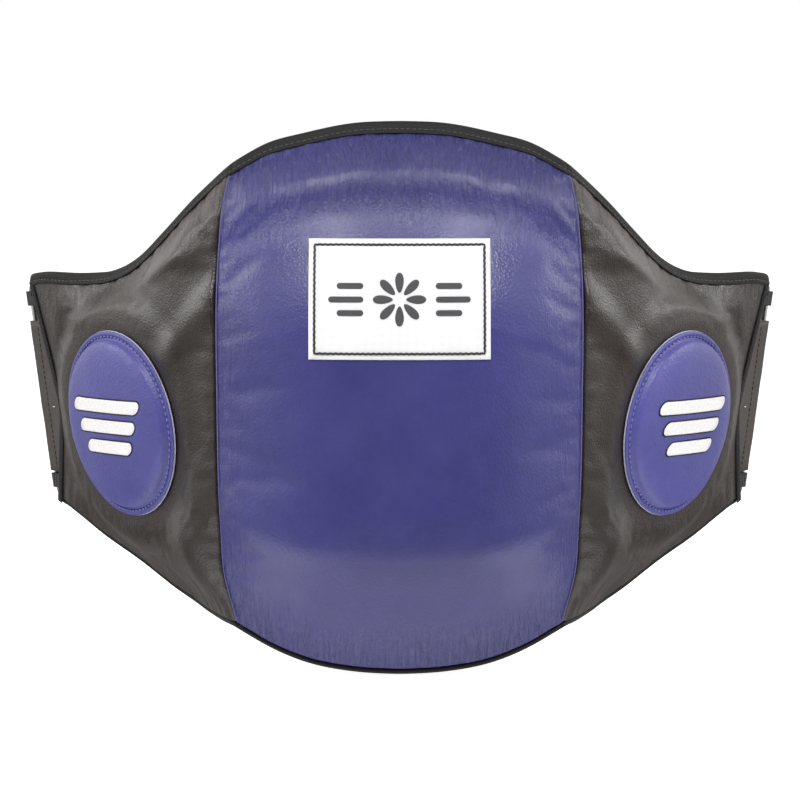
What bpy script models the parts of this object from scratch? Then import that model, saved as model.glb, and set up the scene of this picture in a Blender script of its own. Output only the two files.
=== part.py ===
"""Trainer belly pad: a domed leather centre, two curved padded wings that flex at their
seams, a slot ring at each wing end and a wide back strap in two halves that close with
hook and loop.

Metres, +Z up, the front faces -Y. The origin is the middle of the flat inner face, which
rests on the wearer's belly. Left and right are the sides as seen from the front.
A place on a wing is given by its distance from the seam (reach), its height, and its
depth inward from the wing's face.
"""
import bmesh
import bpy
import numpy as np
from math import cos, pi, radians, sin, sqrt
from mathutils import Matrix, Vector

# Centre panel
SEAM_X = 0.132
SEAM_DEPTH = 0.045
DOME_DEPTH = 0.088
RIM_DEPTH = 0.010
DOME_POWER = 2.6
CENTRE_MITRE = 0.30
TOP_EDGE = [(0.0, 0.1957), (0.036, 0.1943), (0.078, 0.1866), (0.106, 0.1797), (0.132, 0.1660)]
BOTTOM_EDGE = [(0.0, -0.2005), (0.036, -0.1986), (0.078, -0.1909), (0.106, -0.1800), (0.132, -0.1658)]
TOP_RISE = [(0.0, 0.0), (0.010, 0.12), (0.020, 0.27), (0.030, 0.42), (0.038, 0.505),
            (0.046, 0.545), (0.056, 0.565), (0.066, 0.61), (0.078, 0.69), (0.092, 0.79),
            (0.106, 0.88), (0.122, 0.955), (0.140, 1.0)]
BOTTOM_RISE = [(0.0, 0.0), (0.030, 0.36), (0.060, 0.66), (0.090, 0.92), (0.115, 1.0)]
COMFORT_FRONT = 0.0130
CORE_FRONT = 0.0300

# Wings
WING_YAW = radians(46)
WING_RADIUS = 1.0
WING_LEAN = 0.145
LEAN_START = 0.01
LEAN_REACH = 0.10
WING_MITRE = 0.56
CLOSING_CLEARANCE = 0.17
SEAM_GAP = 0.0031
CENTRE_TRIM_SPAN = 0.965
SEAM_BLEND = 0.05
WING_TOP = [(0.0, 0.1795), (0.020, 0.1678), (0.050, 0.1448), (0.083, 0.1166), (0.111, 0.0976),
            (0.126, 0.0906), (0.145, 0.0848), (0.170, 0.0824), (0.228, 0.0806), (0.244, 0.0765)]
WING_BOTTOM = [(0.0, -0.1712), (0.024, -0.1693), (0.054, -0.1645), (0.088, -0.1602), (0.120, -0.1496),
               (0.155, -0.1304), (0.185, -0.1124), (0.207, -0.0984), (0.223, -0.0919), (0.244, -0.0889)]
THICKNESS = [(0.0, 0.0450), (0.060, 0.0435), (0.120, 0.0390), (0.160, 0.0290),
             (0.190, 0.0160), (0.210, 0.0100), (0.240, 0.0092)]
WING_RIM = 0.0090
EDGE_ROUND = [(0.0, 0.065), (0.10, 0.062), (0.16, 0.040), (0.19, 0.034), (0.24, 0.034)]
EDGE_SLOWNESS = [(0.0, 1.3), (0.10, 1.3), (0.18, 1.0), (0.24, 1.0)]
NOTCH_REACH = 0.2115
NOTCH_HEIGHT = -0.018
NOTCH_SOFTNESS = 0.006
NOTCH_SLOPE_UP = 0.245
NOTCH_SLOPE_DOWN = 0.37

# Layers
LEATHER = 0.0016
LINING = 0.0012
LAYER_GAP = 0.0006
FOAM_GAP = 0.0034
WING_COMFORT = 0.0090
COMFORT_GAP = 0.0014
WING_FOAM_REACH = 0.176
WING_COMFORT_REACH = 0.184

# Edge trims
TRIM_GAP = 0.0007
END_GAP = 0.0016
TAPE_DEPTH = 0.0100
TAPE_HEIGHT = 0.0038
PIPING_RADIUS = 0.0019
END_TAPE_WIDTH = 0.0034
END_TAPE_THICKNESS = 0.0026

# Label
LABEL_WIDTH = 0.129
LABEL_HEIGHT = 0.085
LABEL_Z = 0.074
LABEL_THICKNESS = 0.0010
LABEL_GAP = 0.0022

# Disc pads
DISC_REACH = 0.1145
DISC_Z = -0.023
DISC_RADIUS = 0.0700
DISC_BACKING = 0.0020
DISC_FOAM_RADIUS = 0.0640
DISC_HEIGHT = 0.0150
DISC_RIM = 0.0030
SEAT_STANDOFF = 0.0020
SEAT_FLAT = 0.074
SEAT_FADE = 0.030

# Ring, flap and tabs
BAR_REACH = 0.2440
BAR_DEPTH = 0.0047
BAR_RADIUS = 0.0024
RING_TOP = 0.0776
RING_BOTTOM = -0.0876
RING_WIDTH = 0.030
RING_CORNER = 0.006
RING_HEADING = radians(25)
WRAP_CLEARANCE = 0.0006
WRAP_THICKNESS = 0.0018
PLY_SPACING = 0.0030
FLAP_TOP = 0.0476
FLAP_BOTTOM = -0.0688
FLAP_ROOT = 0.194
TAB_ROOT = 0.214
TAB_GAP = 0.0118
TAB_WIDTH = 0.0110
TAB_GAP_LOW = 0.0020

# Back strap
STRAP_WIDTH = 0.115
STRAP_END_X = 0.080
LOOP_LENGTH = 0.050
ELASTIC_START = 0.016
ELASTIC_END = 0.136
PANEL_START = 0.118
ELASTIC_THICKNESS = 0.0016
PANEL_INNER = 0.0021
PANEL_THICKNESS = 0.0025
PAD_INNER = 0.0006
PAD_THICKNESS = 0.0012
HOOK_LENGTH = 0.130
LOOP_PAD_LENGTH = 0.190
PAD_MARGIN = 0.006
SHEAR_FADE = 0.100

MATERIALS = {
    "blue_leather": ((0.075, 0.072, 0.190), 0.42, 0.0),
    "black_leather": ((0.055, 0.048, 0.044), 0.48, 0.0),
    "edge_tape": ((0.020, 0.019, 0.022), 0.60, 0.0),
    "lining_nylon": ((0.030, 0.030, 0.033), 0.75, 0.0),
    "dense_foam": ((0.180, 0.180, 0.190), 0.95, 0.0),
    "soft_foam": ((0.720, 0.690, 0.560), 0.95, 0.0),
    "pale_hide": ((0.720, 0.700, 0.660), 0.80, 0.0),
    "woven_label": ((0.900, 0.900, 0.900), 0.85, 0.0),
    "nickel": ((0.720, 0.710, 0.690), 0.22, 1.0),
    "webbing": ((0.018, 0.018, 0.020), 0.80, 0.0),
    "elastic": ((0.025, 0.025, 0.028), 0.85, 0.0),
    "hook_tape": ((0.015, 0.015, 0.016), 0.90, 0.0),
    "loop_tape": ((0.022, 0.022, 0.024), 0.98, 0.0),
}


def clear_scene():
    for item in list(bpy.data.objects):
        bpy.data.objects.remove(item)


def make_materials():
    for name, (color, roughness, metallic) in MATERIALS.items():
        material = bpy.data.materials.new(name)
        material.use_nodes = True
        shader = material.node_tree.nodes["Principled BSDF"]
        shader.inputs["Base Color"].default_value = (*color, 1.0)
        shader.inputs["Roughness"].default_value = roughness
        shader.inputs["Metallic"].default_value = metallic


def curve_through(points):
    """A smooth function through a few (place, value) points."""
    places, values = np.array(points, dtype=float).T
    slopes = np.gradient(values, places)

    def value_at(place):
        place = min(max(place, places[0]), places[-1])
        i = min(max(int(np.searchsorted(places, place)) - 1, 0), len(places) - 2)
        step = places[i + 1] - places[i]
        t = (place - places[i]) / step
        start = values[i] * (1 + 2 * t) * (1 - t) ** 2 + slopes[i] * step * t * (1 - t) ** 2
        end = values[i + 1] * t * t * (3 - 2 * t) - slopes[i + 1] * step * t * t * (1 - t)
        return float(start + end)

    return value_at


centre_top = curve_through(TOP_EDGE)
centre_bottom = curve_through(BOTTOM_EDGE)
top_rise = curve_through(TOP_RISE)
bottom_rise = curve_through(BOTTOM_RISE)
wing_top = curve_through(WING_TOP)
wing_bottom = curve_through(WING_BOTTOM)
wing_thickness = curve_through(THICKNESS)
edge_round = curve_through(EDGE_ROUND)
edge_slowness = curve_through(EDGE_SLOWNESS)


def mix(a, b, t):
    return a + (b - a) * t


def smoothstep(t):
    t = min(max(t, 0.0), 1.0)
    return t * t * (3 - 2 * t)


def add_object(name, mesh, material):
    part = bpy.data.objects.new(name, mesh)
    bpy.context.scene.collection.objects.link(part)
    mesh.materials.append(bpy.data.materials[material])
    mesh.shade_smooth()
    mesh.set_sharp_from_angle(angle=radians(35))
    return part


def closed_mesh(name, points, faces):
    """A mesh from points and faces, with every face turned outward."""
    mesh = bpy.data.meshes.new(name)
    mesh.from_pydata([tuple(point) for point in points], [], faces)
    shape = bmesh.new()
    shape.from_mesh(mesh)
    bmesh.ops.recalc_face_normals(shape, faces=shape.faces)
    shape.to_mesh(mesh)
    shape.free()
    return mesh


def add_slab(name, material, front, back):
    """A closed solid between two grids of points with the same rows and columns."""
    rows = len(front)
    columns = len(front[0])
    points = [point for row in front for point in row] + [point for row in back for point in row]
    faces = []
    for layer in (0, rows * columns):
        for i in range(rows - 1):
            for j in range(columns - 1):
                corner = layer + i * columns + j
                faces.append((corner, corner + 1, corner + columns + 1, corner + columns))
    border = [j for j in range(columns)]
    border += [i * columns + columns - 1 for i in range(1, rows)]
    border += [(rows - 1) * columns + j for j in range(columns - 2, -1, -1)]
    border += [i * columns for i in range(rows - 2, 0, -1)]
    for a, b in zip(border, border[1:] + border[:1]):
        faces.append((a, b, b + rows * columns, a + rows * columns))
    return add_object(name, closed_mesh(name, points, faces), material)


def add_sweep(name, material, stations, closed=False):
    """A closed solid through a list of sections, each a ring of the same number of points."""
    count = len(stations[0])
    points = [point for station in stations for point in station]
    faces = []
    pairs = list(zip(range(len(stations) - 1), range(1, len(stations))))
    if closed:
        pairs.append((len(stations) - 1, 0))
    for a, b in pairs:
        for k in range(count):
            m = (k + 1) % count
            faces.append((a * count + k, a * count + m, b * count + m, b * count + k))
    if not closed:
        faces.append(tuple(range(count)))
        faces.append(tuple(range((len(stations) - 1) * count, len(stations) * count)))
    return add_object(name, closed_mesh(name, points, faces), material)


def round_section(radius, sides=8):
    return [(radius * cos(2 * pi * k / sides), radius * sin(2 * pi * k / sides)) for k in range(sides)]


def tape_section(width, height):
    """A flat bar's section with its long edges rounded off."""
    w = width / 2
    h = height / 2
    corner = min(w, h) * 0.6
    return [(-w, -h), (w, -h), (w, h - corner), (w - corner, h), (corner - w, h), (-w, h - corner)]


def place_section(centre, across, along, section):
    return [centre + across * a + along * b for a, b in section]


# ------------------------------------------------------------------ centre panel

def edge_distances(x, z):
    return centre_top(abs(x)) - z, z - centre_bottom(abs(x))


def centre_rise(x, z):
    """How far the dome has risen, from 0 at the rim to 1 on the flat of its front."""
    from_top, from_bottom = edge_distances(x, z)
    return min(top_rise(from_top), bottom_rise(from_bottom))


def centre_crown(x):
    return mix(DOME_DEPTH, SEAM_DEPTH, (abs(x) / SEAM_X) ** DOME_POWER)


def centre_depth(x, z):
    return mix(RIM_DEPTH, centre_crown(x), centre_rise(x, z))


def rise_distance(rise, profile, reach):
    """The distance from the edge at which a rise profile reaches a value."""
    distances = np.linspace(0, reach, 200)
    heights = [profile(distance) for distance in distances]
    return float(np.interp(rise, heights, distances))


def centre_half_width(depth):
    """The mitred side of the centre, which leaves the wing room behind the seam."""
    return SEAM_X - CENTRE_MITRE * max(SEAM_DEPTH - depth, 0.0)


def centre_grid(columns, rows, least_depth, depth_at, side_gap=0.0):
    """Grid over the front where the dome is at least least_depth deep."""
    grid = []
    for i in range(columns + 1):
        u = 2 * i / columns - 1
        x = u * SEAM_X
        rise = (least_depth - RIM_DEPTH) / (centre_crown(x) - RIM_DEPTH)
        top = centre_top(abs(x)) - rise_distance(rise, top_rise, TOP_RISE[-1][0])
        bottom = centre_bottom(abs(x)) + rise_distance(rise, bottom_rise, BOTTOM_RISE[-1][0])
        row = []
        for j in range(rows + 1):
            z = mix(bottom, top, 0.5 - 0.5 * cos(pi * j / rows))
            depth = depth_at(x, z)
            row.append(Vector((u * (centre_half_width(depth) - side_gap), -depth, z)))
        grid.append(row)
    return grid


def make_centre():
    cover = centre_grid(14, 26, RIM_DEPTH, centre_depth)
    cover_back = [[point + Vector((0, LEATHER, 0)) for point in row] for row in cover]
    add_slab("centre_cover", "blue_leather", cover, cover_back)

    skin = LEATHER + FOAM_GAP
    impact_back = CORE_FRONT + LAYER_GAP
    least = impact_back + skin + 0.004
    front = centre_grid(14, 20, least, lambda x, z: centre_depth(x, z) - skin, side_gap=0.0025)
    back = [[Vector((point.x, -impact_back, point.z)) for point in row] for row in front]
    trim_side(back, impact_back)
    add_slab("centre_impact_foam", "dense_foam", front, back)

    flat_layer("centre_core_foam", "dense_foam", CORE_FRONT, COMFORT_FRONT + LAYER_GAP, 0.004)
    flat_layer("centre_comfort_foam", "soft_foam", COMFORT_FRONT, LINING + LAYER_GAP, 0.003)

    lining_front = centre_grid(12, 2, RIM_DEPTH, lambda x, z: LINING, side_gap=0.0022)
    lining_back = [[Vector((point.x, 0.0, point.z)) for point in row] for row in lining_front]
    add_slab("centre_lining", "lining_nylon", lining_front, lining_back)


def trim_side(grid, depth):
    """Pull a grid in to the width that the mitred side leaves at this depth."""
    limit = centre_half_width(depth) - 0.0025
    widest = max(abs(point.x) for row in grid for point in row)
    for row in grid:
        for point in row:
            point.x *= limit / widest


def flat_layer(name, material, front_depth, back_depth, margin):
    least = front_depth + LEATHER + FOAM_GAP + margin
    front = centre_grid(12, 2, least, lambda x, z: front_depth)
    trim_side(front, back_depth)
    back = [[Vector((point.x, -back_depth, point.z)) for point in row] for row in front]
    add_slab(name, material, front, back)


def make_centre_trim():
    stations = []
    piping = []
    half = centre_half_width(RIM_DEPTH)
    count = 20
    for i in range(count + 1):
        u = (2 * i / count - 1) * CENTRE_TRIM_SPAN
        x = u * SEAM_X
        step = 0.002
        for edge, sign, target in ((centre_top, 1, stations), (centre_bottom, -1, piping)):
            slope = (edge(abs(x) + step) - edge(max(abs(x) - step, 0))) / (2 * step)
            outward = Vector((-slope * (1 if x > 0 else -1), 0, 1)).normalized() * sign
            if x == 0:
                outward = Vector((0, 0, sign))
            base = Vector((u * half, -RIM_DEPTH / 2, edge(abs(x))))
            if target is stations:
                centre = base + outward * (TRIM_GAP + TAPE_HEIGHT / 2)
                section = tape_section(TAPE_DEPTH, TAPE_HEIGHT)
            else:
                centre = base + outward * (TRIM_GAP + PIPING_RADIUS)
                section = round_section(PIPING_RADIUS)
            target.append(place_section(centre, Vector((0, -1, 0)), outward, section))
    add_sweep("centre_top_binding", "edge_tape", stations)
    add_sweep("centre_bottom_piping", "edge_tape", piping)


def make_label():
    """The woven patch follows the dome's front."""
    columns = 8
    rows = 8
    front = []
    back = []
    for i in range(columns + 1):
        x = (i / columns - 0.5) * LABEL_WIDTH
        row = [(x, LABEL_Z + (j / rows - 0.5) * LABEL_HEIGHT) for j in range(rows + 1)]
        depths = [centre_depth(x, z) + LABEL_GAP for x, z in row]
        back.append([Vector((x, -depth, z)) for (x, z), depth in zip(row, depths)])
        front.append([Vector((x, -depth - LABEL_THICKNESS, z)) for (x, z), depth in zip(row, depths)])
    add_slab("label_patch", "woven_label", front, back)


# ------------------------------------------------------------------ wings

def lean_at(reach):
    return WING_LEAN * smoothstep((reach - LEAN_START) / LEAN_REACH)


def wing_yaw(reach):
    return WING_YAW + reach / WING_RADIUS


def outward_at(side, reach):
    yaw = wing_yaw(reach)
    return Vector((side * sin(yaw), -cos(yaw), 0))


def wing_point(side, reach, z, depth):
    yaw = wing_yaw(reach)
    x = SEAM_X + WING_RADIUS * (sin(yaw) - sin(WING_YAW))
    y = -SEAM_DEPTH + WING_RADIUS * (cos(WING_YAW) - cos(yaw))
    return Vector((side * x, y, z)) + outward_at(side, reach) * (lean_at(reach) * z - depth)


def wing_end(z):
    """Reach of the notched end at a height."""
    rise = z - NOTCH_HEIGHT
    slope = NOTCH_SLOPE_UP if rise > 0 else NOTCH_SLOPE_DOWN
    return NOTCH_REACH + slope * (sqrt(rise * rise + NOTCH_SOFTNESS ** 2) - NOTCH_SOFTNESS)


def wing_rise(reach, from_edge, top_side):
    """Rise of the padded face from its bound edge; near the seam it matches the dome."""
    own = sin(pi / 2 * min(max(from_edge, 0) / edge_round(reach), 1)) ** edge_slowness(reach)
    seam = (top_rise if top_side else bottom_rise)(max(from_edge, 0))
    return mix(seam, own, smoothstep(reach / SEAM_BLEND))


def disc_frame(side):
    """Centre and outward normal of the seat that a wing's face makes for its disc."""
    normal = outward_at(side, DISC_REACH) - Vector((0, 0, WING_LEAN))
    normal.normalize()
    centre = wing_point(side, DISC_REACH, DISC_Z, 0) + normal * SEAT_STANDOFF
    return centre, normal


def face_depth(reach, z):
    """Depth of the leather face below the wing's guide surface."""
    thickness = wing_thickness(reach)
    from_top = wing_top(reach) - z
    from_bottom = z - wing_bottom(reach)
    rise = min(wing_rise(reach, from_top, True), wing_rise(reach, from_bottom, False))
    depth = (thickness - WING_RIM) * (1 - rise)
    centre, normal = disc_frame(1)
    guide = wing_point(1, reach, z, 0)
    distance = (guide - centre).length
    seat = -(centre - guide).dot(normal) / outward_at(1, reach).dot(normal)
    return mix(seat, depth, smoothstep((distance - SEAT_FLAT) / SEAT_FADE))


def wing_start(depth):
    """Reach of the mitred start, with room behind the seam for the wing to close."""
    return SEAM_GAP + (WING_MITRE + CLOSING_CLEARANCE) * max(depth, 0)


def rim_inset(reach, least_rise, top_side):
    distances = np.linspace(0, 0.12, 240)
    for distance in distances:
        if wing_rise(reach, distance, top_side) >= least_rise:
            return distance
    return distances[-1]


def wing_grid(side, columns, rows, depth_at, last_reach=None, space=None):
    """Grid over a wing at a depth; space is the thickness that the layer needs below the face."""
    grid = []
    for i in range(columns + 1):
        row = []
        for j in range(rows + 1):
            v = 0.5 - 0.5 * cos(pi * j / rows)
            level = mix(wing_bottom(0.23), wing_top(0.23), v)
            end = wing_end(level)
            if last_reach is not None:
                end = last_reach
            mid_z = mix(wing_bottom(0.025), wing_top(0.025), v)
            start = wing_start(depth_at(0.0, mid_z))
            reach = mix(start, end, i / columns)
            low = wing_bottom(reach)
            high = wing_top(reach)
            if space is not None:
                rise = (space - WING_RIM) / (wing_thickness(reach) - WING_RIM)
                low += rim_inset(reach, rise, False)
                high -= rim_inset(reach, rise, True)
            z = mix(low, high, v)
            row.append(wing_point(side, reach, z, depth_at(reach, z)))
        grid.append(row)
    return grid


def make_wing_body(side, name):
    skin = LEATHER + FOAM_GAP
    base = LINING + LAYER_GAP

    def face_under(extra):
        return lambda reach, z: face_depth(reach, z) + extra

    def above_lining(extra):
        return lambda reach, z: wing_thickness(reach) - extra

    add_slab(name + "_wing_cover", "black_leather",
             wing_grid(side, 14, 14, face_under(0)),
             wing_grid(side, 14, 14, face_under(LEATHER)))
    foam_back = base + WING_COMFORT + COMFORT_GAP
    space = foam_back + skin + 0.003
    add_slab(name + "_wing_foam", "dense_foam",
             wing_grid(side, 12, 12, face_under(skin), WING_FOAM_REACH, space),
             wing_grid(side, 12, 12, above_lining(foam_back), WING_FOAM_REACH, space))
    space = base + WING_COMFORT + skin + 0.002
    add_slab(name + "_wing_comfort_foam", "soft_foam",
             wing_grid(side, 10, 5, above_lining(base + WING_COMFORT), WING_COMFORT_REACH, space),
             wing_grid(side, 10, 5, above_lining(base), WING_COMFORT_REACH, space))
    add_slab(name + "_wing_lining", "lining_nylon",
             wing_grid(side, 12, 5, above_lining(LINING)),
             wing_grid(side, 12, 5, above_lining(0)))


def wing_edge_path(side, edge, offset, count, last_reach):
    """Centres and outward directions of a trim that follows a wing's top or bottom edge."""
    sign = 1 if edge is wing_top else -1
    path = []
    for i in range(count + 1):
        rim_depth = wing_thickness(0) - WING_RIM / 2
        reach = mix(wing_start(rim_depth), last_reach, i / count)
        step = 0.002

        def rim_point(r):
            return wing_point(side, r, edge(r), wing_thickness(r) - WING_RIM / 2)

        tangent = (rim_point(reach + step) - rim_point(reach - step)).normalized()
        across = outward_at(side, reach)
        along = tangent.cross(across).normalized()
        if along.z * sign < 0:
            along = -along
        across = along.cross(tangent).normalized()
        path.append((rim_point(reach) + along * offset, across, along))
    return path


def make_wing_trim(side, name):
    tape = tape_section(TAPE_DEPTH, TAPE_HEIGHT)
    top = wing_edge_path(side, wing_top, TRIM_GAP + TAPE_HEIGHT / 2, 18, 0.2335)
    add_sweep(name + "_wing_top_binding", "edge_tape", [place_section(*station, tape) for station in top])
    cord = round_section(PIPING_RADIUS)
    low = wing_edge_path(side, wing_bottom, TRIM_GAP + PIPING_RADIUS, 16, 0.2335)
    add_sweep(name + "_wing_bottom_piping", "edge_tape", [place_section(*station, cord) for station in low])

    section = tape_section(END_TAPE_THICKNESS, END_TAPE_WIDTH)
    stations = []
    count = 14
    low = wing_bottom(0.23) + 0.001
    high = wing_top(0.23) - 0.001
    for i in range(count + 1):
        z = mix(low, high, i / count)
        reach = wing_end(z) + END_GAP + END_TAPE_WIDTH / 2
        across = outward_at(side, reach)
        centre = wing_point(side, reach, z, 0.0008)
        ahead = wing_point(side, wing_end(z + 0.002) + END_TAPE_WIDTH / 2, z + 0.002, 0.0008)
        behind = wing_point(side, wing_end(z - 0.002) + END_TAPE_WIDTH / 2, z - 0.002, 0.0008)
        along = (ahead - behind).cross(across).normalized() * side
        stations.append(place_section(centre, across, along, section))
    add_sweep(name + "_wing_end_binding", "edge_tape", stations)


def turned_solid(name, material, profile, segments, frame):
    """A solid of revolution about its own +Z from a profile that starts and ends on the axis."""
    points = [Vector((0, 0, profile[0][1]))]
    for radius, height in profile[1:-1]:
        for k in range(segments):
            angle = 2 * pi * k / segments
            points.append(Vector((radius * cos(angle), radius * sin(angle), height)))
    points.append(Vector((0, 0, profile[-1][1])))
    last = len(points) - 1
    rings = len(profile) - 2
    faces = []
    for k in range(segments):
        m = (k + 1) % segments
        faces.append((0, 1 + m, 1 + k))
        faces.append((last, last - segments + k, last - segments + m))
        for ring in range(rings - 1):
            a = 1 + ring * segments
            b = a + segments
            faces.append((a + k, a + m, b + m, b + k))
    part = add_object(name, closed_mesh(name, points, faces), material)
    part.matrix_world = frame
    return part


def dome_profile(radius, base, rim, height, steps):
    """Half section of a padded dome above its base, from the rim to the axis."""
    profile = []
    for i in range(steps + 1):
        angle = pi / 2 * i / steps
        profile.append((radius * cos(angle), base + rim + (height - rim) * sin(angle) ** 0.9))
    return profile


def make_disc(side, name):
    centre, normal = disc_frame(side)
    turn = normal.to_track_quat("Z", "Y").to_matrix().to_4x4()
    frame = Matrix.Translation(centre) @ turn
    low = TRIM_GAP
    high = low + DISC_BACKING
    edge = [(0, low), (DISC_RADIUS, low), (DISC_RADIUS, high), (0, high)]
    turned_solid(name + "_disc_backing", "pale_hide", edge, 36, frame)
    foam_base = high + LAYER_GAP
    foam = dome_profile(DISC_FOAM_RADIUS, foam_base, 0.001, DISC_HEIGHT - DISC_RIM, 4)
    foam = [(0, foam_base), (DISC_FOAM_RADIUS, foam_base)] + foam
    turned_solid(name + "_disc_foam", "dense_foam", foam, 32, frame)
    base = high + TRIM_GAP
    outside = dome_profile(DISC_FOAM_RADIUS + 0.0022, base, 0.0032, DISC_HEIGHT - 0.0002, 4)
    inside = dome_profile(DISC_FOAM_RADIUS + 0.0008, base, 0.0020, DISC_HEIGHT - 0.0016, 4)
    skirt = [(DISC_RADIUS - 0.0006, base + 0.0014), (DISC_RADIUS - 0.0006, base)]
    skirt.append((DISC_FOAM_RADIUS + 0.0008, base))
    profile = outside[::-1] + skirt + inside
    turned_solid(name + "_disc_cover", "blue_leather", profile, 36, frame)


# ------------------------------------------------------------------ ring, flap, tabs

def wrap_path(root_reach):
    """Centre line of a strip that wraps the ring's front bar, as (reach, depth) points."""
    radius = BAR_RADIUS + WRAP_CLEARANCE + WRAP_THICKNESS / 2
    root_depth = LEATHER + 0.0007 + WRAP_THICKNESS / 2
    outer = [(root_reach, root_depth), (BAR_REACH - 0.0065, root_depth)]
    turn = []
    for i in range(9):
        angle = pi / 2 - pi * i / 8
        turn.append((BAR_REACH + radius * cos(angle), BAR_DEPTH - radius * sin(angle)))
    inner = [(BAR_REACH - 0.0065, root_depth + PLY_SPACING), (root_reach, root_depth + PLY_SPACING)]
    return outer + turn + inner


def offset_line(line, distance):
    """The line moved sideways in its own plane by a distance."""
    moved = []
    for i, point in enumerate(line):
        before = Vector(line[max(i - 1, 0)])
        after = Vector(line[min(i + 1, len(line) - 1)])
        along = (after - before).normalized()
        moved.append((point[0] - along.y * distance, point[1] + along.x * distance))
    return moved


def add_wrap(side, name, material, root_reach, bottom, top):
    line = wrap_path(root_reach)
    front = offset_line(line, WRAP_THICKNESS / 2)
    back = offset_line(line, -WRAP_THICKNESS / 2)
    rows = 5 if top - bottom > 0.05 else 1
    heights = [mix(bottom, top, j / rows) for j in range(rows + 1)]
    add_slab(name, material,
             [[wing_point(side, reach, z, depth) for z in heights] for reach, depth in front],
             [[wing_point(side, reach, z, depth) for z in heights] for reach, depth in back])


def make_anchor(side, name):
    add_wrap(side, name + "_anchor_flap", "black_leather", FLAP_ROOT, FLAP_BOTTOM, FLAP_TOP)
    upper = FLAP_TOP + TAB_GAP
    add_wrap(side, name + "_upper_tab", "webbing", TAB_ROOT, upper, upper + TAB_WIDTH)
    lower = FLAP_BOTTOM - TAB_GAP_LOW
    add_wrap(side, name + "_lower_tab", "webbing", TAB_ROOT, lower - TAB_WIDTH, lower)


def ring_frame(side):
    """Front bar's middle, bar direction, and the direction to the rear bar."""
    middle = wing_point(side, BAR_REACH, (RING_TOP + RING_BOTTOM) / 2, BAR_DEPTH)
    bar = outward_at(side, BAR_REACH) * WING_LEAN + Vector((0, 0, 1))
    bar.normalize()
    heading = Vector((-side * sin(RING_HEADING), cos(RING_HEADING), 0))
    across = (heading - bar * heading.dot(bar)).normalized()
    return middle, bar, across


def make_ring(side, name):
    middle, bar, across = ring_frame(side)
    half = (RING_TOP - RING_BOTTOM) / 2 / bar.z
    corners = [(0, 1), (1, 1), (1, -1), (0, -1)]
    starts = [pi, pi / 2, 0, -pi / 2]
    section = round_section(BAR_RADIUS)
    stations = []
    for (column, row), start in zip(corners, starts):
        u = RING_CORNER if column == 0 else RING_WIDTH - RING_CORNER
        v = row * (half - RING_CORNER)
        for i in range(5):
            angle = start - pi / 2 * i / 4
            outward = across * cos(angle) + bar * sin(angle)
            centre = middle + across * u + bar * v + outward * RING_CORNER
            stations.append(place_section(centre, outward, across.cross(bar), section))
    ring = add_sweep(name + "_ring", "nickel", stations, closed=True)
    ring.data.transform(Matrix.Translation(-middle))
    ring.location = middle


# ------------------------------------------------------------------ back strap

def strap_frame(side):
    middle, bar, across = ring_frame(side)
    return middle + across * RING_WIDTH, bar


def strap_point(side, along, height, out):
    """A point of a strap: along from the rear bar, height from its middle, out to the back."""
    centre, bar = strap_frame(side)
    slope = bar / bar.z
    shear = slope.x * height * (1 - smoothstep(along / SHEAR_FADE))
    return Vector((centre.x - side * along + shear, centre.y + out + slope.y * height, centre.z + height))


def strap_slab(side, name, material, line_front, line_back, half_height, rows=2):
    heights = [mix(-half_height, half_height, j / rows) for j in range(rows + 1)]
    centre = strap_frame(side)[0]

    def grid(line):
        return [[strap_point(side, along, h, out) - centre for h in heights] for along, out in line]

    add_slab(name, material, grid(line_front), grid(line_back)).location = centre


def straight(start, end, level, count):
    return [(mix(start, end, i / count), level) for i in range(count + 1)]


def make_strap(side, name):
    """The left half lies outside and carries the hook; the right half carries the loop pile."""
    outer = -side
    reach = abs(strap_frame(side)[0].x) + STRAP_END_X
    half = STRAP_WIDTH / 2

    radius = BAR_RADIUS + WRAP_CLEARANCE + WRAP_THICKNESS / 2
    ply = ELASTIC_THICKNESS / 2 + LAYER_GAP / 2 + WRAP_THICKNESS / 2
    turn = []
    for i in range(9):
        angle = pi / 2 + pi * i / 8
        turn.append((radius * cos(angle), radius * sin(angle)))
    line = [(LOOP_LENGTH, ply), (0.012, ply)] + turn + [(0.012, -ply), (LOOP_LENGTH, -ply)]
    strap_slab(side, name + "_strap_loop", "webbing",
               offset_line(line, WRAP_THICKNESS / 2), offset_line(line, -WRAP_THICKNESS / 2), half)

    middle = [(ELASTIC_START, 0.0), (LOOP_LENGTH + 0.004, 0.0)]
    middle += [(PANEL_START - 0.006, outer * 0.0010), (ELASTIC_END, outer * 0.0010)]
    thick = ELASTIC_THICKNESS / 2
    strap_slab(side, name + "_strap_elastic", "elastic",
               [(a, o + thick) for a, o in middle], [(a, o - thick) for a, o in middle], half - 0.002)

    far = PANEL_INNER + PANEL_THICKNESS
    strap_slab(side, name + "_strap_panel", "black_leather",
               straight(PANEL_START, reach, outer * PANEL_INNER, 3),
               straight(PANEL_START, reach, outer * far, 3), half)

    length = HOOK_LENGTH if outer > 0 else LOOP_PAD_LENGTH
    material = "hook_tape" if outer > 0 else "loop_tape"
    pad_name = "_hook_pad" if outer > 0 else "_loop_pad"
    start = reach - PAD_MARGIN - length
    strap_slab(side, name + pad_name, material,
               straight(start, reach - PAD_MARGIN, outer * PAD_INNER, 2),
               straight(start, reach - PAD_MARGIN, outer * (PAD_INNER + PAD_THICKNESS), 2),
               half - PAD_MARGIN)


def main():
    clear_scene()
    make_materials()
    make_centre()
    make_centre_trim()
    make_label()
    for side, name in ((-1, "left"), (1, "right")):
        make_wing_body(side, name)
        make_wing_trim(side, name)
        make_disc(side, name)
        make_anchor(side, name)
        make_ring(side, name)
        make_strap(side, name)


main()
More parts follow.
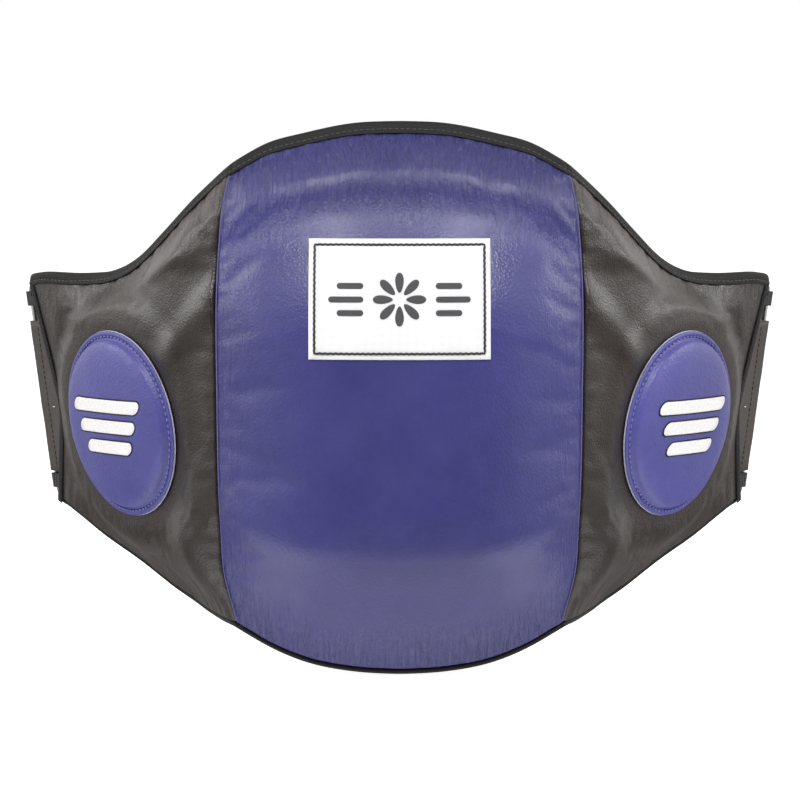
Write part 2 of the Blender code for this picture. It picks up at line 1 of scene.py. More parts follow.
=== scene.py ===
"""Looks of the trainer belly pad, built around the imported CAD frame.

Metres, +Z up, the front faces -Y, and side is -1 for the left wing and 1 for the right one.
The guide curves are the CAD solids' own, apart from the bowed line of the seams and the rise
under the top rim, so each soft piece lies where its solid does. A place on a wing is its reach
from the seam, its height, and its depth inward from the wing's guide surface.
"""

import bmesh
import bpy
import numpy as np
from math import cos, pi, radians, sin
from mathutils import Matrix, Vector
from mathutils.bvhtree import BVHTree


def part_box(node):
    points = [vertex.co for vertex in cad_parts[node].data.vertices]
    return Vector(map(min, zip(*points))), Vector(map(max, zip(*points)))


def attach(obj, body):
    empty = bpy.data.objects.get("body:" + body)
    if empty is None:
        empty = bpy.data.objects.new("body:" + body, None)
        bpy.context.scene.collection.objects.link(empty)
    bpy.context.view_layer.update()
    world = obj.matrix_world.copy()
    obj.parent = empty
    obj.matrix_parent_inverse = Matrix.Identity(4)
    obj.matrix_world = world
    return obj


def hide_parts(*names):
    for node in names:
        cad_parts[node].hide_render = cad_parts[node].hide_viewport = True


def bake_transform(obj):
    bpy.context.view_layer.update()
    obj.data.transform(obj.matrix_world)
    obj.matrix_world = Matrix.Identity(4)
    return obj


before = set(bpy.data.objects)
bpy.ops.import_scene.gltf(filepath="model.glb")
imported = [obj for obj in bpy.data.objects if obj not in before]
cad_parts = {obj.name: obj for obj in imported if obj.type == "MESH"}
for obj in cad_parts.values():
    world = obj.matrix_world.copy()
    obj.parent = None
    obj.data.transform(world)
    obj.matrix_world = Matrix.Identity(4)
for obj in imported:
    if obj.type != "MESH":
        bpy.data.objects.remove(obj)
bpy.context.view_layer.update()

SIDES = ((-1, "left"), (1, "right"))

# Centre panel
SEAM_X = 0.132
SEAM_DEPTH = 0.045
DOME_DEPTH = 0.088
RIM_DEPTH = 0.010
DOME_POWER = 2.6
EDGE_GROWTH = 0.0030
LINING = 0.0012
COVER_CLEAR = 0.0002
BACK_HALF_WIDTH = 0.1187
SEAM_LINE = [(-0.170, 0.1190), (-0.152, 0.1230), (-0.131, 0.1278), (-0.090, 0.1302),
             (0.0, 0.1322), (0.110, 0.1312), (0.140, 0.1285), (0.160, 0.1245), (0.172, 0.1205)]
TOP_EDGE = [(0.0, 0.1957), (0.036, 0.1943), (0.078, 0.1866), (0.106, 0.1797), (0.132, 0.1660)]
BOTTOM_EDGE = [(0.0, -0.2005), (0.036, -0.1986), (0.078, -0.1909), (0.106, -0.1800), (0.132, -0.1658)]
TOP_RISE = [(0.0, 0.0), (0.010, 0.125), (0.018, 0.27), (0.027, 0.42), (0.034, 0.505), (0.0415, 0.545),
            (0.053, 0.564), (0.065, 0.605), (0.078, 0.69), (0.092, 0.79), (0.106, 0.88), (0.122, 0.955),
            (0.140, 1.0)]
BOTTOM_RISE = [(0.0, 0.0), (0.030, 0.36), (0.060, 0.66), (0.090, 0.92), (0.115, 1.0)]

# Wings
WING_YAW = radians(46)
WING_RADIUS = 1.0
WING_LEAN = 0.145
LEAN_START = 0.01
LEAN_REACH = 0.10
WING_MITRE = 0.56
SEAM_BLEND = 0.05
SEAM_FADE = 0.040
WING_TOP = [(0.0, 0.1795), (0.020, 0.1678), (0.050, 0.1448), (0.083, 0.1166), (0.111, 0.0976),
            (0.126, 0.0906), (0.145, 0.0848), (0.170, 0.0824), (0.228, 0.0806), (0.244, 0.0765)]
WING_BOTTOM = [(0.0, -0.1712), (0.024, -0.1693), (0.054, -0.1645), (0.088, -0.1602), (0.120, -0.1496),
               (0.155, -0.1304), (0.185, -0.1124), (0.207, -0.0984), (0.223, -0.0919), (0.244, -0.0889)]
THICKNESS = [(0.0, 0.0450), (0.060, 0.0435), (0.120, 0.0390), (0.160, 0.0290),
             (0.190, 0.0160), (0.210, 0.0100), (0.240, 0.0092)]
WING_RIM = 0.0090
EDGE_ROUND = [(0.0, 0.065), (0.10, 0.062), (0.16, 0.040), (0.19, 0.034), (0.24, 0.034)]
EDGE_SLOWNESS = [(0.0, 1.3), (0.10, 1.3), (0.18, 1.0), (0.24, 1.0)]
NOTCH_REACH = 0.2115
NOTCH_HEIGHT = -0.018
NOTCH_SOFTNESS = 0.006
NOTCH_SLOPE_UP = 0.245
NOTCH_SLOPE_DOWN = 0.37
END_REACH = 0.23
TOP_CORNER = 0.2345
CORNER_ROUND = 0.0075

# Patch. A mark's layers are shares of its outline, each with its lift.
PATCH_SAMPLES = 60
PATCH_MARGIN = 0.010
LABEL_CLEAR = 0.0012
LABEL_EMBED = 0.0004
BORDER_INSET = 0.0042
BORDER_STEP = 0.0019
BORDER_SWING = 0.0002
THREAD_MARK = ((1.0, -0.0004), (0.985, 0.00036), (0.90, 0.0006), (0.55, 0.00066))

# Disc pads. A rim's points are insets from the disc's radius and heights over its base.
DISC_REACH = 0.1145
DISC_Z = -0.023
DISC_RADIUS = 0.0700
DISC_DOME_RADIUS = 0.0632
DISC_BASE = 0.0007
DISC_TOP = 0.0019
DISC_HEIGHT = 0.0150
DOME_FOOT = 0.0026
DOME_ROUND = 0.92
DOME_FLATNESS = 0.78
SEAT_STANDOFF = 0.0020
SEAT_FLAT = 0.074
SEAT_FADE = 0.030
BAR_PITCH = 0.0155
PRINT_SHARES = (1.0, 0.8, 0.6, 0.4, 0.2, 0.05)
PALE_RIM = ((0.0004, 0.0), (0.0, 0.0003), (0.0, 0.0007), (0.0003, 0.0010))
LEATHER_RIM = ((0.0007, 0.0), (0.0003, 0.0006), (0.0010, 0.0013), (0.0024, 0.0016),
               (0.0034, 0.0014), (0.0042, 0.0010), (0.0050, 0.0014), (0.0060, 0.0018))

# Ring, flap and tabs. A tab has a name and the height of its lower edge.
BAR_REACH = 0.2440
BAR_DEPTH = 0.0047
BAR_RADIUS = 0.0024
RING_TOP = 0.0776
RING_BOTTOM = -0.0876
RING_WIDTH = 0.030
RING_CORNER = 0.006
RING_HEADING = radians(25)
WRAP_THICKNESS = 0.0018
WRAP_CLEARANCE = 0.0006
WRAP_RADIUS = BAR_RADIUS + WRAP_CLEARANCE + WRAP_THICKNESS / 2
WRAP_DEPTH = 0.0032
WRAP_GAP = 0.0030
WRAP_BEND = 0.0065
FLAP_TOP = 0.0476
FLAP_BOTTOM = -0.0688
TAB_THICKNESS = 0.0017
TAB_WIDTH = 0.0110
TABS = (("upper", 0.0594), ("lower", -0.0818))

# Back strap
STRAP_WIDTH = 0.115
STRAP_END_X = 0.080
LOOP_LENGTH = 0.050
LOOP_BEND = 0.014
PANEL_START = 0.118
ELASTIC_START = 0.016
ELASTIC_END = 0.136
ELASTIC_THICKNESS = 0.0016
PANEL_INNER = 0.0021
PANEL_THICKNESS = 0.0025
PAD_INNER = 0.0006
PAD_THICKNESS = 0.0012
HOOK_LENGTH = 0.130
LOOP_PAD_LENGTH = 0.190
PAD_MARGIN = 0.006
LAP_LENGTH = 0.022
SHEAR_FADE = 0.100

# Meshes and cloth. A bead's rings are shares of a stitch's length and radius.
HEIGHT_STEPS = 96
CENTRE_STEPS = 66
COLUMN_BUNCHING = 0.92
ROW_BUNCHING = 0.55
WING_STEPS = 64
TAPE_WIDTH = 0.0078
SEAM_TAPE_LIFT = 0.0012
PIPING_RADIUS = 0.0021
PIPING_DROP = PIPING_RADIUS * 0.9
PIPING_SEAT = 0.62
PIPING_END = 0.2350
GROOVE_WIDTH = 0.0022
SEAM_EDGE_RADIUS = 0.00045
THREAD_RADIUS = 0.00035
TAPE_THREAD_RADIUS = 0.00045
BORDER_THREAD_RADIUS = 0.00085
BEAD = ((-0.42, 0.75), (0.0, 1.0), (0.42, 0.75))
BEAD_SIDES = 6
CLOTH_FRAMES = 18
CLOTH = {"quality": 5, "mass": 0.25, "tension_stiffness": 12, "compression_stiffness": 12,
         "shear_stiffness": 6, "bending_stiffness": 0.6, "use_pressure": True,
         "uniform_pressure_force": 2.5, "vertex_group_mass": "held"}

# Studio. A shade is an axis of the direction, where it starts and ends, and its two strengths.
CAMERA_DISTANCE = 2.6
CAMERA_ELEVATION = radians(4)
CAMERA_TARGET = Vector((0, -0.02, 0))
CAMERA_LENS = 161.2
CAMERA_SHIFT = (0.0006, -0.0031)
FLOOR_Z = -0.2055
FLOOR_SIZE = 12.0
ROOM_SHADES = (("Y", -0.93, -0.45, 0.04, 1.12), ("Z", -0.55, 0.20, 0.05, 1.0), ("Z", 0.35, 0.95, 1.0, 0.22))
FLOOR_GLOW = (("Z", -0.90, -0.38, 0.90, 0.0), ("X", 0.62, 0.88, 1.0, 0.15))


# ---- numbers and curves

def mix(a, b, t):
    return a + (b - a) * t


def smoothstep(t):
    t = np.clip(t, 0.0, 1.0)
    return t * t * (3 - 2 * t)


def curve_through(points):
    """A smooth function through a few (place, value) points."""
    places, values = np.array(points, dtype=float).T
    slopes = np.gradient(values, places)

    def value_at(place):
        place = np.clip(place, places[0], places[-1])
        i = np.clip(np.searchsorted(places, place) - 1, 0, len(places) - 2)
        step = places[i + 1] - places[i]
        t = (place - places[i]) / step
        start = values[i] * (1 + 2 * t) * (1 - t) ** 2 + slopes[i] * step * t * (1 - t) ** 2
        end = values[i + 1] * t * t * (3 - 2 * t) - slopes[i + 1] * step * t * t * (1 - t)
        return start + end

    return value_at


def ripple(place, spacing, seed):
    """Irregular waves about one spacing long, from -1 to 1."""
    turn = 2 * pi * np.asarray(place) / spacing
    waves = np.sin(turn + 1.7 * seed) + 0.7 * np.sin(1.618 * turn + 2.9 * seed)
    return (waves + 0.5 * np.sin(0.577 * turn + 4.1 * seed)) / 2.2


def bump(distance, width):
    return np.exp(-((distance / width) ** 2))


def gathers(*rows):
    """Sum of rippled stretches: distance, width, place along it, spacing, seed and height."""
    return sum(bump(distance, width) * ripple(along, spacing, seed) * height
               for distance, width, along, spacing, seed, height in rows)


def folds(*rows):
    """Sum of straight folds: distance across, width, distance along, length and height."""
    return sum(bump(across, width) * bump(along, length) * height
               for across, width, along, length, height in rows)


def vectors(x, y, z):
    return np.stack(np.broadcast_arrays(x, y, z), axis=-1)


def even_out(rows, times):
    """Average each row with its neighbours, in place, with the end rows held."""
    for _ in range(times):
        rows[1:-1] = (rows[:-2] + 2 * rows[1:-1] + rows[2:]) / 4


def box_sides(low_x, low_y, high_x, high_y):
    """The ends of a rectangle's four sides, in order round it."""
    corners = [(low_x, low_y), (high_x, low_y), (high_x, high_y), (low_x, high_y)]
    return zip(corners, corners[1:] + corners[:1])


seam_line = curve_through(SEAM_LINE)
centre_top_cad = curve_through(TOP_EDGE)
centre_bottom = curve_through(BOTTOM_EDGE)
top_rise = curve_through(TOP_RISE)
bottom_rise = curve_through(BOTTOM_RISE)
wing_top_cad = curve_through(WING_TOP)
wing_bottom = curve_through(WING_BOTTOM)
wing_thickness = curve_through(THICKNESS)
edge_round = curve_through(EDGE_ROUND)
edge_slowness = curve_through(EDGE_SLOWNESS)


def centre_top(x):
    return centre_top_cad(x) + EDGE_GROWTH


def wing_top(reach):
    """Top edge of a wing, with a round corner where it meets the notched end."""
    past = np.clip((reach - TOP_CORNER) / CORNER_ROUND + 1, 0, 1)
    return wing_top_cad(reach) + EDGE_GROWTH - CORNER_ROUND * (1 - np.sqrt(1 - past * past))


# ---- guide surfaces

def centre_depth(x, z):
    """Depth of the plain dome, from the rim to the flat of its front."""
    crown = mix(DOME_DEPTH, SEAM_DEPTH, (np.abs(x) / SEAM_X) ** DOME_POWER)
    above = top_rise(centre_top(np.abs(x)) - z)
    below = bottom_rise(z - centre_bottom(np.abs(x)))
    return mix(RIM_DEPTH, crown, np.minimum(above, below))


def wing_yaw(reach):
    return WING_YAW + reach / WING_RADIUS


def outward_at(side, reach):
    yaw = wing_yaw(reach)
    return vectors(side * np.sin(yaw), -np.cos(yaw), 0.0)


def wing_point(side, reach, z, depth):
    yaw = wing_yaw(reach)
    x = SEAM_X + WING_RADIUS * (np.sin(yaw) - sin(WING_YAW))
    y = -SEAM_DEPTH + WING_RADIUS * (cos(WING_YAW) - np.cos(yaw))
    lean = WING_LEAN * smoothstep((reach - LEAN_START) / LEAN_REACH)
    out = lean * z - depth
    return vectors(side * (x + out * np.sin(yaw)), y - out * np.cos(yaw), z)


def wing_end(z):
    """Reach of the V notch at a wing's end."""
    rise = z - NOTCH_HEIGHT
    slope = np.where(rise > 0, NOTCH_SLOPE_UP, NOTCH_SLOPE_DOWN)
    return NOTCH_REACH + slope * (np.sqrt(rise * rise + NOTCH_SOFTNESS ** 2) - NOTCH_SOFTNESS)


def disc_frame(side):
    """Centre and outward normal of the flat seat of a disc pad."""
    normal = outward_at(side, DISC_REACH) - np.array([0, 0, WING_LEAN])
    normal = normal / np.linalg.norm(normal)
    return wing_point(side, DISC_REACH, DISC_Z, 0.0) + normal * SEAT_STANDOFF, normal


def wing_rise(reach, from_edge, rise_curve):
    from_edge = np.maximum(from_edge, 0.0)
    own = np.sin(pi / 2 * np.minimum(from_edge / edge_round(reach), 1.0)) ** edge_slowness(reach)
    return mix(rise_curve(from_edge), own, smoothstep(reach / SEAM_BLEND))


def face_depth(reach, z):
    """Depth of the leather face below the wing's guide surface, flat where the disc sits."""
    rise = np.minimum(wing_rise(reach, wing_top(reach) - z, top_rise),
                      wing_rise(reach, z - wing_bottom(reach), bottom_rise))
    depth = (wing_thickness(reach) - WING_RIM) * (1 - rise)
    centre, normal = disc_frame(1)
    guide = wing_point(1, reach, z, 0.0)
    distance = np.linalg.norm(guide - centre, axis=-1)
    seat = -((centre - guide) @ normal) / (outward_at(1, reach) @ normal)
    return mix(seat, depth, smoothstep((distance - SEAT_FLAT) / SEAT_FADE))


def height_shares():
    """Shares of the height, closer together near the rims."""
    t = np.linspace(0, 1, HEIGHT_STEPS + 1)
    return mix(t, 0.5 - 0.5 * np.cos(pi * t), ROW_BUNCHING)


def rim_freedom(width):
    """Share of free movement over the height: none at the rims, all of it a width inside them."""
    shares = height_shares()[None, :]
    return smoothstep(np.minimum(shares, 1 - shares) / width)


def seam_point(side, shares):
    """The seam between the centre and a wing, from its bottom to its top."""
    z = mix(centre_bottom(SEAM_X), centre_top(SEAM_X), shares)
    rise = np.minimum(top_rise(centre_top(SEAM_X) - z), bottom_rise(z - centre_bottom(SEAM_X)))
    return vectors(side * seam_line(z), -mix(RIM_DEPTH, SEAM_DEPTH, rise), z)


def seam_fade(past):
    """The share of the seam's shift that is left at a distance past it."""
    return 1 - smoothstep(past / SEAM_FADE)


def wing_corner(side, share, edge):
    """The reach where a wing's edge meets the seam, and the shift that joins them there."""
    seam = seam_point(side, np.array([share]))[0]
    start = float(WING_MITRE * (SEAM_DEPTH + seam[1]))
    return start, seam - wing_point(side, start, edge(start), face_depth(start, edge(start)))


# ---- meshes

def new_object(name, data):
    thing = bpy.data.objects.new(name, data)
    bpy.context.scene.collection.objects.link(thing)
    return thing


def new_piece(name, points, faces, material):
    """A smooth-shaded closed piece with its faces turned outward."""
    mesh = bpy.data.meshes.new(name)
    mesh.from_pydata(np.asarray(points, dtype=float).reshape(-1, 3).tolist(), [], faces)
    shape = bmesh.new()
    shape.from_mesh(mesh)
    bmesh.ops.recalc_face_normals(shape, faces=shape.faces)
    shape.to_mesh(mesh)
    shape.free()
    mesh.materials.append(material)
    mesh.shade_smooth()
    return new_object(name, mesh)


def slab(name, front, back, material):
    """A closed piece between two grids of points with the same rows and columns."""
    rows, columns = front.shape[:2]
    size = rows * columns
    faces = []
    for layer in (0, size):
        for i in range(rows - 1):
            for j in range(columns - 1):
                corner = layer + i * columns + j
                faces.append((corner, corner + 1, corner + columns + 1, corner + columns))
    border = list(range(columns))
    border += [i * columns + columns - 1 for i in range(1, rows)]
    border += [(rows - 1) * columns + j for j in range(columns - 2, -1, -1)]
    border += [i * columns for i in range(rows - 2, 0, -1)]
    for a, b in zip(border, border[1:] + border[:1]):
        faces.append((a, b, b + size, a + size))
    points = np.concatenate([front.reshape(-1, 3), back.reshape(-1, 3)])
    return new_piece(name, points, faces, material)


def sweep(name, stations, material, closed=False):
    """A closed piece through a list of sections with the same number of points."""
    stations = np.asarray(stations, dtype=float)
    total, count = stations.shape[:2]
    faces = []
    for a in range(total if closed else total - 1):
        b = (a + 1) % total
        for k in range(count):
            m = (k + 1) % count
            faces.append((a * count + k, a * count + m, b * count + m, b * count + k))
    if not closed:
        faces.append(tuple(range(count)))
        faces.append(tuple(range((total - 1) * count, total * count)))
    return new_piece(name, stations, faces, material)


def spokes(first, second, count):
    """Directions evenly round a circle, from one unit vector towards another across it."""
    turns = [2 * pi * k / count for k in range(count)]
    return [first * cos(turn) + second * sin(turn) for turn in turns]


def tube(name, path, radius, material, sides=10, closed=False):
    """A round tube along a path of points."""
    path = np.asarray(path, dtype=float)
    if closed:
        tangents = np.roll(path, -1, axis=0) - np.roll(path, 1, axis=0)
    else:
        tangents = np.gradient(path, axis=0)
    across = Vector(tangents[0]).normalized().orthogonal().normalized()
    stations = []
    for centre, tangent in zip(path, tangents):
        tangent = Vector(tangent).normalized()
        across = (across - tangent * across.dot(tangent)).normalized()
        ring = spokes(across, tangent.cross(across), sides)
        stations.append([tuple(Vector(centre) + spoke * radius) for spoke in ring])
    return sweep(name, stations, material, closed)


def turned_faces(base, sides, rings):
    """Faces of a turned form: a pole at point number base, its rings, and the other pole."""
    last = base + 1 + rings * sides
    faces = []
    for k in range(sides):
        m = (k + 1) % sides
        faces.append((base, base + 1 + m, base + 1 + k))
        faces.append((last, last - sides + k, last - sides + m))
        for a in range(base + 1, last - sides, sides):
            faces.append((a + k, a + m, a + sides + m, a + sides + k))
    return faces


def turned(name, material, segments, profile, shape=None):
    """A turned closed piece about its own +Z, from axis to axis."""
    points = [(0.0, 0.0, profile[0][1])]
    for radius, height in profile[1:-1]:
        for k in range(segments):
            angle = 2 * pi * k / segments
            level = float(shape(radius, angle, height)) if shape and height > profile[0][1] else height
            points.append((radius * cos(angle), radius * sin(angle), level))
    points.append((0.0, 0.0, profile[-1][1]))
    return new_piece(name, points, turned_faces(0, segments, len(profile) - 2), material)


def resample(path, spacing, closed):
    """Points at an even spacing along a path, with the direction of the path at each."""
    path = np.asarray(path, dtype=float)
    if closed:
        path = np.concatenate([path, path[:1]])
    lengths = np.concatenate([[0.0], np.cumsum(np.linalg.norm(np.diff(path, axis=0), axis=1))])
    count = max(int(round(lengths[-1] / spacing)), 1)
    places = (np.arange(count) + 0.5) * lengths[-1] / count

    def at(where):
        return np.stack([np.interp(where, lengths, path[:, k]) for k in range(3)], axis=-1)

    ways = at(places + 0.0003) - at(places - 0.0003)
    return at(places), ways / np.linalg.norm(ways, axis=1)[:, None]


def stitches(name, path, material, spacing=0.0042, length=0.0030, radius=THREAD_RADIUS, closed=False):
    """A row of thread stitches, each a short rounded bead, as one piece."""
    points = []
    faces = []
    for middle, way in zip(*resample(path, spacing, closed)):
        middle = Vector(middle)
        way = Vector(way)
        across = way.orthogonal().normalized()
        faces += turned_faces(len(points), BEAD_SIDES, len(BEAD))
        points.append(middle - way * 0.5 * length)
        for along, width in BEAD:
            ring = spokes(across, way.cross(across), BEAD_SIDES)
            points += [middle + way * along * length + spoke * width * radius for spoke in ring]
        points.append(middle + way * 0.5 * length)
    return new_piece(name, [tuple(point) for point in points], faces, material)


def bake_modifiers(piece):
    depsgraph = bpy.context.evaluated_depsgraph_get()
    mesh = bpy.data.meshes.new_from_object(piece.evaluated_get(depsgraph))
    piece.modifiers.clear()
    piece.data = mesh
    mesh.name = piece.name


def subdivide(piece):
    modifier = piece.modifiers.new("Subdivision", "SUBSURF")
    modifier.levels = 1
    modifier.render_levels = 1
    bake_modifiers(piece)


def fasten(piece, body, slot, *nodes, seam=0):
    """Put a piece on its body in place of the CAD nodes that it covers. The slot is not used.

    A seam of -1 or 1 leaves it on no body, with its place baked into its mesh.
    """
    if nodes:
        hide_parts(*nodes)
    if seam:
        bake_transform(piece)
    else:
        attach(piece, body)


# ---- materials

class Nodes:
    """A node tree in the making."""

    def __init__(self, tree):
        self.tree = tree

    def link(self, output, socket):
        self.tree.links.new(output, socket)

    def add(self, kind, inputs=None, **settings):
        """A node with its settings, and each of its given inputs linked or set."""
        node = self.tree.nodes.new("ShaderNode" + kind)
        for name, value in settings.items():
            setattr(node, name, value)
        for name, value in (inputs or {}).items():
            if isinstance(value, bpy.types.NodeSocket):
                self.link(value, node.inputs[name])
            else:
                node.inputs[name].default_value = value
        return node

    def math(self, operation, a, b=0.0):
        return self.add("Math", {0: a, 1: b}, operation=operation).outputs[0]

    def ramp(self, value, low, high, start=0.0, end=1.0, steps="LINEAR"):
        """A value taken from the range start to end onto the range low to high."""
        inputs = {"Value": value, "From Min": start, "From Max": end, "To Min": low, "To Max": high}
        return self.add("MapRange", inputs, interpolation_type=steps).outputs["Result"]


class Recipe(Nodes):
    """A node material in the making, with object coordinates in metres."""

    def __init__(self, name, color, roughness, metallic=0.0):
        self.material = bpy.data.materials.new(name)
        self.material.use_nodes = True
        super().__init__(self.material.node_tree)
        self.shader = self.tree.nodes["Principled BSDF"]
        self.set(Base_Color=(*color, 1.0), Roughness=roughness, Metallic=metallic)
        self.color = color
        self.place = self.add("TexCoord").outputs["Object"]
        self.height = None

    def set(self, **values):
        for name, value in values.items():
            self.shader.inputs[name.replace("_", " ")].default_value = value

    def noise(self, scale, detail=3.0, roughness=0.5, distortion=0.0, place=None):
        inputs = {"Vector": place or self.place, "Scale": scale, "Detail": detail,
                  "Roughness": roughness, "Distortion": distortion}
        return self.add("TexNoise", inputs).outputs["Fac"]

    def cells(self, scale):
        return self.add("TexVoronoi", {"Vector": self.place, "Scale": scale}).outputs["Distance"]

    def threads(self, pitch, direction, distortion):
        """Bands at a pitch in metres; the wave node has 20 / (2 pi) of them to a unit."""
        inputs = {"Vector": self.place, "Scale": 2 * pi / pitch / 20, "Distortion": distortion}
        return self.add("TexWave", inputs, wave_type="BANDS", bands_direction=direction).outputs["Fac"]

    def shades(self, value, dark, light, start=0.3, end=0.7):
        """Colour that goes from dark to light shares of the base colour."""
        inputs = {"A": (*[c * dark for c in self.color], 1.0),
                  "B": (*[min(c * light, 1.0) for c in self.color], 1.0),
                  "Factor": self.ramp(value, 0.0, 1.0, start, end)}
        node = self.add("Mix", inputs, data_type="RGBA")
        self.link(node.outputs["Result"], self.shader.inputs["Base Color"])

    def roughen(self, value, low, high):
        self.link(self.ramp(value, low, high, 0.3, 0.7), self.shader.inputs["Roughness"])

    def relief(self, value, distance, strength=1.0):
        """Bump, stacked on any earlier bump."""
        node = self.add("Bump", {"Height": value, "Distance": distance, "Strength": strength})
        if self.height is not None:
            self.link(self.height, node.inputs["Normal"])
        self.height = node.outputs["Normal"]
        self.link(self.height, self.shader.inputs["Normal"])

    def pull_lines(self, depth, side_share):
        """Streaks that run down from the top rim, up from the lower one and in from the sides."""
        axes = self.add("SeparateXYZ", {"Vector": self.place}).outputs
        bowed = self.math("MULTIPLY", self.math("MULTIPLY", axes["X"], axes["X"]), 1.6)
        near_top = self.ramp(self.math("ADD", axes["Z"], bowed), 0.0, 1.0, 0.118, 0.185)
        near_bottom = self.ramp(self.math("SUBTRACT", bowed, axes["Z"]), 0.0, 1.0, 0.150, 0.205)
        near_side = self.ramp(self.math("ABSOLUTE", axes["X"]), 0.0, side_share, 0.100, 0.135)
        mask = self.math("MAXIMUM", self.math("MAXIMUM", near_top, near_bottom), near_side)
        drawn_out = self.add("Mapping", {"Vector": self.place, "Scale": (330, 60, 45)})
        streaks = self.noise(1.0, 5.0, 0.6, 0.6, drawn_out.outputs["Vector"])
        self.relief(self.math("MULTIPLY", self.math("SUBTRACT", streaks, 0.5), mask), depth)


def leather(name, color, roughness, grain, crease=0.00025, coat=0.25, pull=0.0, side_pull=0.0):
    """Pebbled hide: fine cells, soft creases with painted shade in their hollows, slow changes of tone, and
    pull lines at the edges.
    """
    made = Recipe(name, color, roughness)
    wrinkle = made.noise(95, 6.0, 0.62, 1.2)
    tone = made.math("MULTIPLY", made.noise(9), 0.6)
    # Painted shade and highlight: the colour follows the crease bump, darker in its hollows and lighter on
    # its crests, over a tone that varies at random.
    made.shades(made.math("ADD", tone, made.math("MULTIPLY", wrinkle, 0.4)), 0.80, 1.18)
    made.roughen(made.noise(38, 4.0), roughness - 0.03, roughness + 0.07)
    made.relief(made.math("ADD", made.cells(grain), made.noise(grain * 0.35, 3.0, 0.6)), 0.00040, 0.6)
    made.relief(wrinkle, crease, 0.8)
    if pull:
        made.pull_lines(pull, side_pull)
    made.set(Coat_Weight=coat, Coat_Roughness=0.29)
    return made.material


def woven(name, color, pitch, roughness, depth=0.00025, warp="X", light=1.35, sheen=0.15):
    """Crossed threads at a pitch in metres."""
    made = Recipe(name, color, roughness)
    threads = made.math("MAXIMUM", made.threads(pitch, warp, 0.15), made.threads(pitch, "Z", 0.15))
    made.shades(threads, 0.65, light, 0.2, 0.95)
    made.relief(threads, depth, 0.8)
    made.relief(made.noise(60), 0.0003, 0.4)
    made.set(Sheen_Weight=sheen, Sheen_Roughness=0.5, Specular_IOR_Level=0.3)
    return made.material


def pile(name, color, grain, depth):
    """Hook or loop face of a touch fastener."""
    made = Recipe(name, color, 0.95)
    tufts = made.cells(grain)
    fuzz = made.noise(grain * 1.6, 5.0, 0.7)
    made.shades(made.math("ADD", tufts, made.math("MULTIPLY", fuzz, 0.5)), 1.5, 0.6, 0.2, 0.9)
    made.relief(tufts, depth)
    made.relief(fuzz, depth * 0.5, 0.8)
    made.set(Sheen_Weight=0.05, Sheen_Roughness=0.6)
    return made.material


def thread(name, color):
    """Twisted sewing thread."""
    made = Recipe(name, color, 0.62)
    twist = made.threads(0.0009, "DIAGONAL", 0.4)
    made.shades(twist, 0.75, 1.25, 0.1, 0.9)
    made.relief(twist, 0.00008, 0.7)
    return made.material


def metal(name, color, roughness):
    """Plated wire with faint marks of handling."""
    made = Recipe(name, color, roughness, 1.0)
    made.shades(made.noise(45, 4.0), 0.86, 1.05)
    made.roughen(made.noise(160, 5.0, 0.65), roughness - 0.06, roughness + 0.12)
    made.relief(made.noise(420), 0.00003, 0.5)
    return made.material


def raw_hide(name, color):
    """Fibres of a cut or printed hide."""
    made = Recipe(name, color, 0.85)
    fibres = made.noise(900, 4.0, 0.7)
    made.shades(fibres, 0.78, 1.1)
    made.relief(fibres, 0.0002, 0.7)
    return made.material


def elastic_web(name, color):
    """Ribbed elastic: narrow cords along the strap with cross threads."""
    made = Recipe(name, color, 0.85)
    ribs = made.threads(0.0030, "Z", 0.1)
    cross = made.threads(0.0011, "X", 0.3)
    made.shades(made.math("MULTIPLY", ribs, made.math("ADD", cross, 0.5)), 0.55, 1.8, 0.1, 1.2)
    made.relief(ribs, 0.0006, 0.8)
    made.relief(cross, 0.0002, 0.6)
    made.set(Sheen_Weight=0.2, Sheen_Roughness=0.5)
    return made.material


BLUE = leather("blue_leather", (0.042, 0.041, 0.175), 0.325, 560, pull=0.0062, side_pull=0.45)
# Painted light: the disc leather is a lighter copy of the blue leather, brightened for the light that falls
# on the outward-facing discs.
LIT_DISC_BLUE = leather("disc_leather_painted_lighter", (0.070, 0.069, 0.272), 0.40, 620, coat=0.15)
BLACK = leather("black_leather", (0.0185, 0.0135, 0.0115), 0.33, 700, 0.0003, coat=0.3, pull=0.0018)
FLAP_HIDE = leather("flap_leather", (0.060, 0.052, 0.047), 0.58, 800, 0.0004, coat=0.05)
TAPE = woven("edge_tape", (0.0090, 0.0080, 0.0082), 0.0011, 0.60, 0.0002, "DIAGONAL", sheen=0.03)
NYLON = woven("lining_nylon", (0.026, 0.026, 0.030), 0.0012, 0.72)
LABEL = woven("woven_label", (0.84, 0.84, 0.85), 0.0008, 0.88, 0.0001, light=1.08)
MARK = woven("mark_thread", (0.060, 0.060, 0.066), 0.0009, 0.7, 0.0002, "DIAGONAL")
PRINT_LIGHT = raw_hide("print_light", (0.86, 0.86, 0.86))
PRINT_DARK = raw_hide("print_dark", (0.012, 0.012, 0.014))
PALE_EDGE = raw_hide("pale_hide", (0.42, 0.43, 0.55))
